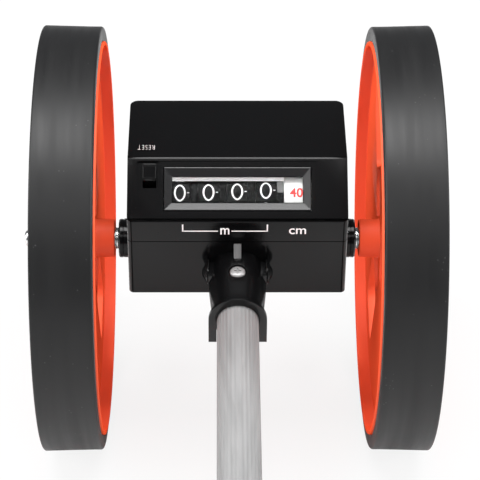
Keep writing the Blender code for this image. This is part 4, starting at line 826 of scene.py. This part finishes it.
def upper_cover_mesh():
    posts = [upright_rod(x, y, SEAM + 0.3 * MM, 23.5 * MM, 3.0 * MM) for x, y in post_places()]
    cuts = [upright_rod(x, y, SEAM - MM, 22.3 * MM, 1.4 * MM) for x, y in post_places()]
    cuts.append(face_box(-28.4, 28.9, 1.5, 22.0, -0.22, 2.0))
    cuts.append(face_box(-26.9, 26.9, 3.7, 20.5, -4.0, 2.0))
    cuts.append(face_box(-36.4, -28.8, 1.5, 13.4, -0.9, 2.0))
    cuts.append(face_box(-33.35, -30.55, 4.45, 11.55, -4.0, 2.0))
    cuts.append(face_box(-34.4, -29.5, 8.6, 11.55, -4.0, 2.0))
    return shaped("upper_cover", hollow_half(False), cuts, posts)


def screw_form():
    """One case screw, head down: a pan head with a cross recess, on a plain shank."""
    low, deep = UNDER + 0.35 * MM, 0.75 * MM
    arm, groove = 1.0 * MM, 0.22 * MM
    head = [(0, 0), (0, 1.2), (0.25, 1.75), (0.6, 2.05), (1.05, 2.1), (1.05, 1.1)]
    outline = [(low + along * MM, radius * MM) for along, radius in head]
    outline += in_mm([(21.4, 1.1), (22.0, 0.5), (22.0, 0)])
    cross = [box_mesh("cross", (low - MM, -a, -b), (low + deep, a, b)) for a,
             b in ((arm, groove), (groove, arm))]
    return shaped("case_screw", turned("case_screw", outline, 32), cross)


def screw_pattern_tree(screw):
    """Set one screw on each corner of an upright rectangle."""
    tree, given, result = new_geometry_tree("screw_pattern", [
        ("Across", "NodeSocketFloat", 71.6 * MM), ("Along", "NodeSocketFloat", 46.9 * MM)])
    grid = add_node(tree, "GeometryNodeMeshGrid", {
        "Size X": given.outputs["Across"], "Size Y": given.outputs["Along"], "Vertices X": 2,
        "Vertices Y": 2})
    form = add_node(tree, "GeometryNodeObjectInfo", {"Object": screw})
    spots = add_node(tree, "GeometryNodeInstanceOnPoints",
                     {"Points": grid.outputs["Mesh"], "Instance": form.outputs["Geometry"]})
    close_tree(tree, result, spots.outputs["Instances"], STEEL)
    return tree


def case_screws_mesh():
    screw = bpy.data.objects.new("one_screw", screw_form())
    screw.data.transform(UPRIGHT)
    bpy.context.scene.collection.objects.link(screw)
    mesh = bake_tree(screw_pattern_tree(screw), "case_screws")
    bpy.data.objects.remove(screw, do_unlink=True)
    middle = sum(y for x, y in post_places()) / 4
    mesh.transform(Matrix.Translation((0, middle, 0)))
    return mesh


SCREW_NODES = [f"{end}_{side}_case_screw" for end in ("front", "rear") for side in ("left", "right")]
make_piece("case_screws", case_screws_mesh(), STEEL, "case", SCREW_NODES)
make_piece("lower_shell_moulding", lower_shell_mesh(), HOUSING, "case", ["lower_shell"])
make_piece("upper_cover_moulding", upper_cover_mesh(), HOUSING, "case", ["upper_cover"])
print("housing halves made")

# %% [markdown]
# The window has a bevelled frame, a clear lens behind it and a pale strip along its top edge, which is a
# painted reflection of light in the lens edge.
# The frame is flat-sided, so it is built level by level from four corners. The lens keeps its working solid.

# %% Window
def bezel_mesh():
    levels = [((26.6, 4.0, 20.2), 0.16), ((26.4, 4.2, 20.0), 0.20), ((24.0, 7.0, 17.4), -0.55),
              ((23.7, 7.3, 17.1), -0.75),
              ((23.7, 7.3, 17.1), -1.2), ((26.6, 4.0, 20.2), -1.2)]
    shape = bmesh.new()
    rings = []
    for (half, top, bottom), level in levels:
        corners = ((-half, top), (half, top), (half, bottom), (-half, bottom))
        rings.append([shape.verts.new((x * MM, m * MM, level * MM)) for x, m in corners])
    for ring, following in zip(rings, rings[1:] + rings[:1]):
        bridge(shape, ring, following)
    mesh = mesh_from(shape, "bezel")
    mesh.transform(FACE)
    return mesh


make_piece("window_frame", bezel_mesh(), BEZEL, "case", ["window_bezel"], angle=6)
nodes["window_lens"].data.materials.clear()
nodes["window_lens"].data.materials.append(CLEAR)
# The pale strip under the lens top is a painted reflection of the lens edge.
make_piece("window_top_strip", face_box(-23.9, 16.9, 6.0, 8.35, -2.75, -2.4), LENS_EDGE_GLINT, "case")
print("window made")

# %% [markdown]
# Five drums carry the figures: four black ones for metres with white figures, and a white one for
# centimetres with red figures. Each figure is flat lettering that is sliced and wrapped round its drum.

# %% Drums
DRUM_Y, DRUM_Z = -3.575 * MM, 21.245 * MM
BAND_RADIUS = 10.72 * MM
DRUM_PITCH, DRUM_HALF = 10.42 * MM, 3.835 * MM
FACE_TURN = math.atan2(FACE_OUT.z, FACE_OUT.y)


def lettering(text, height, width=None, thick=0.0, spacing=1.0):
    """Flat lettering in the XY plane, centred, as a bare mesh."""
    data = bpy.data.curves.new("lettering", "FONT")
    data.body = text
    data.size = 1.0
    data.offset = thick
    data.space_character = spacing
    data.resolution_u = 6
    holder = bpy.data.objects.new("lettering", data)
    bpy.context.scene.collection.objects.link(holder)
    mesh = plain_mesh(holder, "lettering")
    xs = [v.co.x for v in mesh.vertices]
    ys = [v.co.y for v in mesh.vertices]
    scale_y = height / (max(ys) - min(ys))
    scale_x = (width / (max(xs) - min(xs))) if width else scale_y
    centre = Matrix.Translation((-(max(xs) + min(xs)) / 2, -(max(ys) + min(ys)) / 2, 0))
    mesh.transform(Matrix.Diagonal((scale_x, scale_y, 1, 1)) @ centre)
    return mesh


def oval_zero(width, height, stroke):
    """The slim pointed nought of the counter."""
    shape = bmesh.new()
    rings = []
    for inset_by in (0.0, stroke):
        points = []
        for step in range(48):
            turn = 2 * math.pi * step / 48
            x = (width / 2 - inset_by) * math.copysign(abs(math.cos(turn)) ** 1.15, math.cos(turn))
            y = (height / 2 - inset_by) * math.sin(turn)
            points.append(shape.verts.new((x, y, 0)))
        rings.append(points)
    bridge(shape, rings[0], rings[1])
    return mesh_from(shape, "nought")


def wrapped(mesh, radius, turn, middle, lift=0.00006):
    """Slice flat lettering across its height and wrap it round the drum, facing outwards."""
    shape = bmesh.new()
    shape.from_mesh(mesh)
    heights = [v.co.y for v in shape.verts]
    count = int((max(heights) - min(heights)) / 0.0005) + 1
    for step in range(1, count):
        level = min(heights) + (max(heights) - min(heights)) * step / count
        geometry = shape.verts[:] + shape.edges[:] + shape.faces[:]
        bmesh.ops.bisect_plane(shape, geom=geometry, plane_co=(0, level, 0), plane_no=(0, 1, 0))
    for v in shape.verts:
        angle = turn - v.co.y / radius
        out = radius + lift
        v.co = (middle + v.co.x, DRUM_Y + out * math.cos(angle), DRUM_Z + out * math.sin(angle))
    made = bpy.data.meshes.new("wrapped")
    shape.to_mesh(made)
    shape.free()
    return made


def outward(mesh, name, axis_y=DRUM_Y, axis_z=DRUM_Z):
    """Face every polygon of a wrapped mark away from the drum's axis."""
    shape = bmesh.new()
    shape.from_mesh(mesh)
    flip = []
    for face in shape.faces:
        centre = face.calc_center_median()
        away = Vector((0, centre.y - axis_y, centre.z - axis_z))
        if face.normal.dot(away) < 0:
            flip.append(face)
    bmesh.ops.reverse_faces(shape, faces=flip)
    made = bpy.data.meshes.new(name)
    shape.to_mesh(made)
    shape.free()
    return made


def band_mesh(middle):
    """A thin numbered sleeve that fits over a plain drum."""
    left, right = middle - DRUM_HALF, middle + DRUM_HALF
    outline = rounded([(left, BAND_RADIUS - 0.1 * MM), (left, BAND_RADIUS), (right, BAND_RADIUS),
                       (right, BAND_RADIUS - 0.1 * MM)], 0.04 * MM, 2)
    mesh = turned("band", outline, 120)
    mesh.transform(Matrix.Translation((0, DRUM_Y, DRUM_Z)))
    return mesh


def shade_mesh(middle):
    """A curved dark blind that hides the carry ring in the gap between two drums; its darkness is also
    painted shade for the gap.
    """
    reach, outer, inner = 36, 10.4 * MM, 10.15 * MM
    facing = math.degrees(FACE_TURN)
    outline = arc((DRUM_Y, DRUM_Z), outer, facing - reach, facing + reach, 18)
    outline += arc((DRUM_Y, DRUM_Z), inner, facing + reach, facing - reach, 18)
    return prism("shade", outline, middle - 1.2 * MM, middle + 1.2 * MM)


DRUMS = [("thousands", -3.6), ("hundreds", -2.6), ("tens", -1.0), ("units", 1.5), ("centimetre", -3.2)]
for place, (word, turned_by) in enumerate(DRUMS):
    middle = (place - 2) * DRUM_PITCH
    body = f"{word}_counter"
    metre = word != "centimetre"
    make_piece(f"{word}_number_band", band_mesh(middle), DRUM_BLACK if metre else DRUM_WHITE, body)
    marks, ticks = [], []
    for figure in range(10):
        turn = FACE_TURN + math.radians(-turned_by) - math.radians(36) * (figure if metre else figure - 4)
        if metre:
            if figure == 0:
                flat = oval_zero(4.3 * MM, 6.4 * MM, 0.62 * MM)
            else:
                flat = lettering(str(figure), 4.6 * MM, 3.2 * MM)
            marks.append(wrapped(flat, BAND_RADIUS, turn, middle - 0.1 * MM))
            dash = box_mesh("dash", (-0.42 * MM, -0.16 * MM, 0), (0.42 * MM, 0.16 * MM, 0.01 * MM))
            marks.append(wrapped(dash, BAND_RADIUS, turn, middle + 2.95 * MM))
        elif figure % 2 == 0:
            flat = lettering(str(figure * 10), 3.5 * MM, 4.9 * MM if figure else 2.3 * MM, 0.022)
            marks.append(wrapped(flat, BAND_RADIUS, turn, middle + 0.55 * MM))
        else:
            dash = box_mesh("dash", (-0.5 * MM, -0.15 * MM, 0), (0.5 * MM, 0.15 * MM, 0.01 * MM))
            ticks.append(wrapped(dash, BAND_RADIUS, turn, middle + 2.1 * MM))
    print_mesh = outward(merged("figures", *marks), f"{word}_figures")
    ink, ink_slot = (WHITE_INK, "drum_white") if metre else (RED_INK, "wheel_red")
    make_piece(f"{word}_figures", print_mesh, ink, body)
    if ticks:
        tick_mesh = outward(merged("ticks", *ticks), f"{word}_ticks")
        make_piece(f"{word}_ticks", tick_mesh, DRUM_BLACK, body)
# Dark blinds in the drum gaps: cover for the carry rings, and painted shade where the gaps fall into shadow.
shades = merged("drum_shades", *[shade_mesh((place - 1.5) * DRUM_PITCH) for place in range(4)])
make_piece("drum_shades", shades, DRUM_BLACK, "case")
make_piece("carry_plate", face_box(14.45, 16.8, 8.3, 12.6, -2.9, -2.7), PLATE_GREY, "case")
print("drums lettered:", len(DRUMS))

# %% [markdown]
# The reset slider is a small square button with a step on its upper side.
# The printed marks are flat lettering a hair above the surface: a bracket over the metre drums, two units,
# and the word over the slider.

# %% Reset slider
def button_mesh():
    top = 3.05
    outline = [(0, -0.6), (0, 2.0), (0.7, 2.0), (0.9, 1.75), (5.6, 1.75), (6.4, 1.0), (6.4, -0.6)]
    outline = rounded([(top + m, h) for m, h in outline], 0.25, 3)
    mesh = prism("button", [(m * MM, h * MM) for m, h in outline], 29.6 * MM, 34.3 * MM)
    mesh = shaped("button", mesh, bevel=0.25 * MM, segments=3, limit=50)
    mesh.transform(FACE)
    stem = face_box(-33.05, -30.85, 4.75, 7.75, -2.4, -0.3)
    gap = face_box(-36, -28, 4.75, 7.75, -13.0, -4.5)
    fork = shaped("fork", face_box(-33.75, -30.15, 3.15, 9.35, -11.5, -2.1), [gap])
    return shaped("button", mesh, joins=[stem, fork])


make_piece("reset_slider_button", button_mesh(), HOUSING, "reset_slider", ["reset_button"])
print("reset slider made")

# %% Printed marks
def raised(mesh, matrix, lift=0.00005):
    """Flat lettering laid on a plane whose matrix has X to the right and Y up the letters."""
    mesh.transform(matrix @ Matrix.Translation((0, 0, lift)))
    return mesh


def rear_plane(x, z):
    """Upright lettering on the rear wall for a user behind the tool."""
    return Matrix.Translation((x * MM, BACK, z * MM)) @ axes((1, 0, 0), (0, 0, 1), (0, -1, 0))


def top_plane(x, y):
    """Lettering on the top face that reads from the far side of the tool."""
    return Matrix.Translation((x * MM, y * MM, TOP)) @ axes((-1, 0, 0), (0, -1, 0), (0, 0, 1))


def bar(x0, x1, y0, y1):
    shape = bmesh.new()
    corners = in_mm([(x0, y0, 0), (x1, y0, 0), (x1, y1, 0), (x0, y1, 0)])
    shape.faces.new([shape.verts.new(corner) for corner in corners])
    mesh = bpy.data.meshes.new("bar")
    shape.to_mesh(mesh)
    shape.free()
    return mesh


line, width = 21.2, 0.45
marks = [raised(bar(-19.9, -7.1, line - width / 2, line + width / 2), rear_plane(0, 0)),
         raised(bar(-2.2, 10.8, line - width / 2, line + width / 2), rear_plane(0, 0)),
         raised(bar(-20.1, -19.6, line - width / 2, 24.3), rear_plane(0, 0)),
         raised(bar(10.5, 11.0, line - width / 2, 24.3), rear_plane(0, 0)),
         raised(lettering("m", 3.0 * MM, 3.3 * MM, 0.01), rear_plane(-4.6, 21.15)),
         raised(lettering("cm", 2.7 * MM, 6.2 * MM, 0.01), rear_plane(21.7, 21.15)),
         raised(lettering("RESET", 2.7 * MM, 6.1 * MM, -0.026, 1.25), top_plane(-33.3, 4.9))]
make_piece("printed_marks", merged("printed_marks", *marks), WHITE_INK, "case")
print("marks printed:", len(marks))

# %% [markdown]
# The neck is a hood that tapers from a knuckle at the fold pin to an open-bottomed end round the tube.
# It is lofted from arch-shaped sections and then cut: the relief under it lets it fold past the housing.

# %% Neck
NECK_ROOT, NECK_END, KNUCKLE = 21.7 * MM, 48.5 * MM, 4.3 * MM
CHANNEL = 7.62 * MM
SCREW_Y = -32.6 * MM


def arch(along, radius, drop, steps=48):
    points = [(radius, -along, POLE_RISE - drop)]
    for x, z in arc((0, POLE_RISE), radius, 0, 180, steps):
        points.append((x, -along, z))
    points.append((-radius, -along, POLE_RISE - drop))
    return points


def neck_mesh():
    flange = NECK_END - 1.6 * MM
    sections = [arch(NECK_ROOT, 10.5 * MM, 8.4 * MM), arch(30.3 * MM, 10.5 * MM, 8.4 * MM)]
    for share in (0.25, 0.5, 0.75, 1.0):
        along = 30.3 * MM + (flange - 30.3 * MM) * share
        sections.append(arch(along, 10.5 * MM - 1.5 * MM * (share ** 1.2), 8.4 * MM))
    sections += [arch(flange, 10.5 * MM, 9.9 * MM), arch(NECK_END, 10.5 * MM, 9.9 * MM)]
    base = loft("neck", sections)
    low = POLE_RISE - 12 * MM
    knuckle = arc(PIVOT, KNUCKLE, 0, -90, 16)
    relief = prism("relief", [(-NECK_ROOT + 2 * MM, PIVOT[1]), *knuckle, (-40.8 * MM, PIVOT[1] - KNUCKLE),
                              (-40.8 * MM, low), (-NECK_ROOT + 2 * MM, low)], -14 * MM, 14 * MM)
    channel = loft("channel", [arch(43.5 * MM, CHANNEL, 14 * MM), arch(NECK_END + 2 * MM, CHANNEL, 14 * MM)])
    cuts = [relief, channel, rod("pin_hole", -14 * MM, 14 * MM, 1.8 * MM, *PIVOT)]
    half, top = 1.65 * MM, 16 * MM
    cuts.append(box_mesh("groove", (-half, -26.0 * MM, 9.7 * MM), (half, -19 * MM, top)))
    cuts.append(box_mesh("tunnel", (-half, -36.5 * MM, 9.7 * MM), (half, -19 * MM, 10.8 * MM)))
    cuts.append(upright_rod(0, SCREW_Y, 9.7 * MM, top, 3.35 * MM, 48))
    cuts.append(upright_rod(0, SCREW_Y, 3.2 * MM, top, 1.2 * MM, 32))
    spigot = turned("spigot",
                    [(42.2 * MM, 0), (42.2 * MM, 6.2 * MM), (76.5 * MM, 6.2 * MM), (76.5 * MM, 0)], 64)
    spigot.transform(ALONG_POLE)
    mesh = shaped("neck", base, cuts[:2])
    shoulders = [box_mesh("shoulder", (x, -40 * MM, 7.7 * MM), (x + 7 * MM, -20 * MM, top))
                 for x in (-14 * MM, 7 * MM)]
    boss = shaped("boss", rod("boss", -10.45 * MM, 10.45 * MM, KNUCKLE - FIT, *PIVOT), shoulders)
    mesh = shaped("neck", mesh, joins=[spigot, boss])
    mesh = shaped("neck", mesh, cuts[2:])
    return shaped("neck", mesh, bevel=0.22 * MM, segments=2, limit=55)


make_piece("neck_hood", neck_mesh(), NECK_BLACK, "neck_assembly", ["neck"], angle=38)
print("neck made")

# %% Neck screw and latch leaf
def screw_mesh():
    seat, crown = 10.8, 12.15
    arm, groove = 1.35 * MM, 0.3 * MM
    outline = in_mm([(3.5, 0), (3.5, 0.9), (seat, 0.9), (seat, 2.7), (seat + 0.2, 2.85), (seat + 0.5, 2.82),
                     (seat + 0.9, 2.55), (seat + 1.15, 2.1), (crown, 1.3), (crown, 0)])
    base = turned("screw", outline, 64)
    low, high = (crown - 0.8) * MM, (crown + 1.0) * MM
    cross = [box_mesh("cross", (low, -a, -b), (high, a, b)) for a, b in ((arm, groove), (groove, arm))]
    mesh = shaped("screw", base, cross, bevel=0.06 * MM, segments=2, limit=50)
    mesh.transform(Matrix.Translation((0, SCREW_Y, 0)) @ UPRIGHT)
    return mesh


def leaf_mesh():
    side = in_mm([(-36.2, 10.0), (-25.2, 10.0), (-21.8, 14.9), (-21.8, 15.6), (-22.15, 15.6), (-25.5, 10.5),
                  (-36.2, 10.5)])
    hole = upright_rod(0, SCREW_Y, 8 * MM, 12 * MM, 0.95 * MM)
    return shaped("leaf", prism("leaf", side, -1.35 * MM, 1.35 * MM), [hole], bevel=0.1 * MM, segments=2)


make_piece("neck_pan_screw", screw_mesh(), BRIGHT_SCREW, "neck_assembly", ["neck_screw"])
make_piece("latch_leaf", leaf_mesh(), SPRING_STEEL, "neck_assembly", ["latch_spring"])
pin = rod("pin", -11.6 * MM, 11.6 * MM, 1.5 * MM, *PIVOT)
make_piece("fold_pin_bar", pin, COLLAR, "case", ["fold_pin"])
print("screw, latch and fold pin made")

# %% [markdown]
# The lower tube is drawn aluminium with thirty fine flutes along it.
# Its section follows a rule, so a node tree draws the section as a curve, ripples it and sweeps it along
# the tube.

# %% Fluted tube
def fluted_tube_tree():
    tree, given, result = new_geometry_tree("fluted_tube", [
        ("Radius", "NodeSocketFloat", 7.5 * MM), ("Flute Depth", "NodeSocketFloat", 0.14 * MM),
        ("Flutes", "NodeSocketInt", 30), ("Length", "NodeSocketFloat", 330 * MM)])
    ring = add_node(tree, "GeometryNodeCurvePrimitiveCircle",
                    {"Resolution": 240, "Radius": given.outputs["Radius"]})
    place = add_node(tree, "GeometryNodeInputPosition").outputs[0]
    split = add_node(tree, "ShaderNodeSeparateXYZ", {0: place})
    turn = math_node(tree, "ARCTAN2", split.outputs["Y"], split.outputs["X"])
    wave = math_node(tree, "COSINE", math_node(tree, "MULTIPLY", turn, given.outputs["Flutes"]))
    share = math_node(tree, "MULTIPLY_ADD", wave, 0.5, -0.5)
    deep = math_node(tree, "MULTIPLY", share, given.outputs["Flute Depth"])
    away = add_node(tree, "ShaderNodeVectorMath", {0: place}, operation="NORMALIZE")
    push = add_node(tree, "ShaderNodeVectorMath", {0: away.outputs[0], "Scale": deep}, operation="SCALE")
    rippled = add_node(tree, "GeometryNodeSetPosition",
                       {"Geometry": ring.outputs["Curve"], "Offset": push.outputs[0]})
    far = add_node(tree, "ShaderNodeCombineXYZ", {"Z": given.outputs["Length"]})
    line = add_node(tree, "GeometryNodeCurvePrimitiveLine", {"End": far.outputs[0]})
    sweep = add_node(tree, "GeometryNodeCurveToMesh", {
        "Curve": line.outputs["Curve"], "Profile Curve": rippled.outputs["Geometry"], "Fill Caps": True})
    close_tree(tree, result, sweep.outputs["Mesh"], ALUMINIUM)
    return tree


def lower_tube_mesh():
    mesh = bake_tree(fluted_tube_tree(), "lower_tube", {"Length": 330 * MM})
    shape = bmesh.new()
    shape.from_mesh(mesh)
    bmesh.ops.remove_doubles(shape, verts=shape.verts, dist=1e-7)
    bmesh.ops.recalc_face_normals(shape, faces=shape.faces)
    shape.to_mesh(mesh)
    shape.free()
    lay = Matrix.Translation((0, -43.8 * MM, POLE_RISE)) @ Matrix.Rotation(math.pi / 2, 4, "X")
    mesh.transform(lay)
    bore = turned("bore", [(40 * MM, 0), (40 * MM, 6.5 * MM), (376 * MM, 6.5 * MM), (376 * MM, 0)], 96)
    bore.transform(ALONG_POLE)
    return shaped("lower_tube", mesh, [bore])


make_piece("lower_tube_fluted", lower_tube_mesh(), ALUMINIUM, "neck_assembly", ["lower_tube"], angle=40)
print("fluted tube made")

# %% [markdown]
# The sliding tubes are plain drawn tube. The twist collars are gripped by hand, so they carry rows of ribs,
# which a node tree repeats round each collar.

# %% Sliding tubes
def tube_mesh(start, stop, bore, radius):
    r = 0.15 * MM
    outline = [(start, bore), (start, radius - r), (start + r, radius), (stop - r, radius),
               (stop, radius - r), (stop, bore)]
    mesh = turned("tube", outline, 96)
    mesh.transform(ALONG_POLE)
    return mesh


make_piece("middle_tube_drawn", tube_mesh(155 * MM, 460 * MM, 7.8 * MM, 8.8 * MM), ALUMINIUM,
           "middle_section",
           ["middle_tube"])
make_piece("upper_tube_drawn", tube_mesh(200 * MM, 490 * MM, 9.1 * MM, 10.1 * MM), ALUMINIUM, "upper_section",
           ["upper_tube"])
print("sliding tubes made")

# %% Twist collars
def rib_ring_tree():
    """Ribs stood round a circle, each a slim rounded bar."""
    tree, given, result = new_geometry_tree("rib_ring", [
        ("Count", "NodeSocketInt", 28), ("Radius", "NodeSocketFloat", 12.0 * MM),
        ("Rib Length", "NodeSocketFloat", 18 * MM), ("Rib Width", "NodeSocketFloat", 1.1 * MM)])
    ring = add_node(tree, "GeometryNodeMeshCircle",
                    {"Vertices": given.outputs["Count"], "Radius": given.outputs["Radius"]})
    rib = add_node(tree, "GeometryNodeMeshCylinder", {
        "Vertices": 10, "Radius": math_node(tree, "MULTIPLY", given.outputs["Rib Width"], 0.5),
        "Depth": given.outputs["Rib Length"]})
    spots = add_node(tree, "GeometryNodeInstanceOnPoints",
                     {"Points": ring.outputs["Mesh"], "Instance": rib.outputs["Mesh"]})
    close_tree(tree, result, spots.outputs["Instances"], COLLAR)
    return tree


RIBS = rib_ring_tree()


def collar_mesh(tube_start, inner, tube_radius):
    collet = inner + FIT + 1.8 * MM
    outside = max(collet, tube_radius) + FIT + 2.2 * MM
    pocket = tube_start - FIT - 11 * MM - FIT
    lip, stop = pocket - 1.6 * MM, tube_start + 22 * MM
    body = outside - 0.45 * MM
    outline = [(lip, inner + FIT), (lip, body - 0.8 * MM), (lip + 0.5 * MM, body - 0.2 * MM),
               (lip + 1.2 * MM, body),
               (lip + 7 * MM, body), (lip + 7.4 * MM, body - 0.5 * MM), (lip + 8.2 * MM, body - 0.5 * MM),
               (lip + 8.6 * MM, body),
               (stop - 1.2 * MM, body), (stop - 0.5 * MM, body - 0.2 * MM), (stop, body - 0.8 * MM),
               (stop, tube_radius + FIT), (tube_start - FIT, tube_radius + FIT),
               (tube_start - FIT, collet + FIT),
               (pocket, collet + FIT), (pocket, inner + FIT)]
    mesh = turned("collar", outline, 96)
    mesh.transform(ALONG_POLE)
    length = stop - lip - 11 * MM
    ribs = bake_tree(RIBS, "ribs",
                     {"Radius": outside - 0.55 * MM, "Rib Length": length, "Rib Width": 1.1 * MM})
    middle = (lip + 9.5 * MM + stop - 1.5 * MM) / 2
    ribs.transform(Matrix.Translation((0, -middle, POLE_RISE)) @ Matrix.Rotation(math.pi / 2, 4, "X"))
    return merged("collar", mesh, ribs)


make_piece("lower_twist_collar", collar_mesh(155 * MM, 7.5 * MM, 8.8 * MM), COLLAR, "middle_section",
           ["lower_collar"])
make_piece("upper_twist_collar", collar_mesh(200 * MM, 8.8 * MM, 10.1 * MM), COLLAR, "upper_section",
           ["upper_collar"])
print("collars made with ribs")

# %% [markdown]
# The grip is soft moulded rubber with shallow rings that stop a hand from sliding, closed by a flared cap.

# %% Grip and cap
def grip_mesh():
    start, stop, bore = 375 * MM, 490 * MM, 10.4 * MM
    flare_share, waist_share, rings, steps = 0.125, 0.75, 30, 360
    points = [(start, bore)]
    for step in range(steps + 1):
        share = step / steps
        flare = math.sin(min(share / flare_share, 1.0) * math.pi / 2)
        radius = 12.6 * MM + 1.0 * MM * flare
        if share >= flare_share:
            waist = min((share - flare_share) / waist_share, 1.0)
            radius -= 0.5 * MM * (1 - math.cos(2 * math.pi * waist))
        if 0.06 < share < 0.94:
            radius -= 0.28 * MM * (0.5 - 0.5 * math.cos(2 * math.pi * share * rings)) ** 2
        if step in (0, steps):
            radius -= 0.5 * MM
        points.append((start + (stop - start) * share, radius))
    points.append((stop, bore))
    mesh = turned("grip", points, 96)
    mesh.transform(ALONG_POLE)
    return mesh


def cap_mesh():
    base, end = 490.3, POLE_END / MM
    outline = in_mm([(472, 0), (472, 8.8), (base, 8.8), (base, 13.2), (base + 0.5, 13.9), (base + 1.6, 14.6),
                     (base + 2.6, 14.8), (end - 1.6, 14.8), (end - 0.7, 14.3), (end, 13.2), (end, 5.0),
                     (end - 0.3, 4.7), (end - 0.3, 0)])
    mesh = turned("cap", outline, 96)
    mesh.transform(ALONG_POLE)
    return mesh


make_piece("grip_sleeve", grip_mesh(), GRIP, "upper_section", ["grip"], angle=60)
make_piece("grip_cap", cap_mesh(), COLLAR, "upper_section", ["grip_end_cap"])
print("grip made")

# %% [markdown]
# What stays from the working model is the hidden machinery.
# Its shapes are right already, so it only gets its finishes.

# %% Finishes for the pieces that stay
STAYING = {
    STEEL: ["drum_shaft", "pinion_shaft", "idler_pin", "reset_spring"],
    GEAR: ["axle_gear", "idler_gear", "drum_gear", "thousands_pinion", "hundreds_pinion", "tens_pinion",
           "units_pinion",
           "lower_collet", "upper_collet"],
    PLATE: ["left_counter_plate", "right_counter_plate", "reset_rocker"],
    DRUM_BLACK: ["thousands_drum", "hundreds_drum", "tens_drum", "units_drum"],
    DRUM_WHITE: ["centimetre_drum"],
}
for material, names in STAYING.items():
    for name in names:
        nodes[name].data.materials.clear()
        nodes[name].data.materials.append(material)
print("finished nodes that stay:", sum(len(names) for names in STAYING.values()))
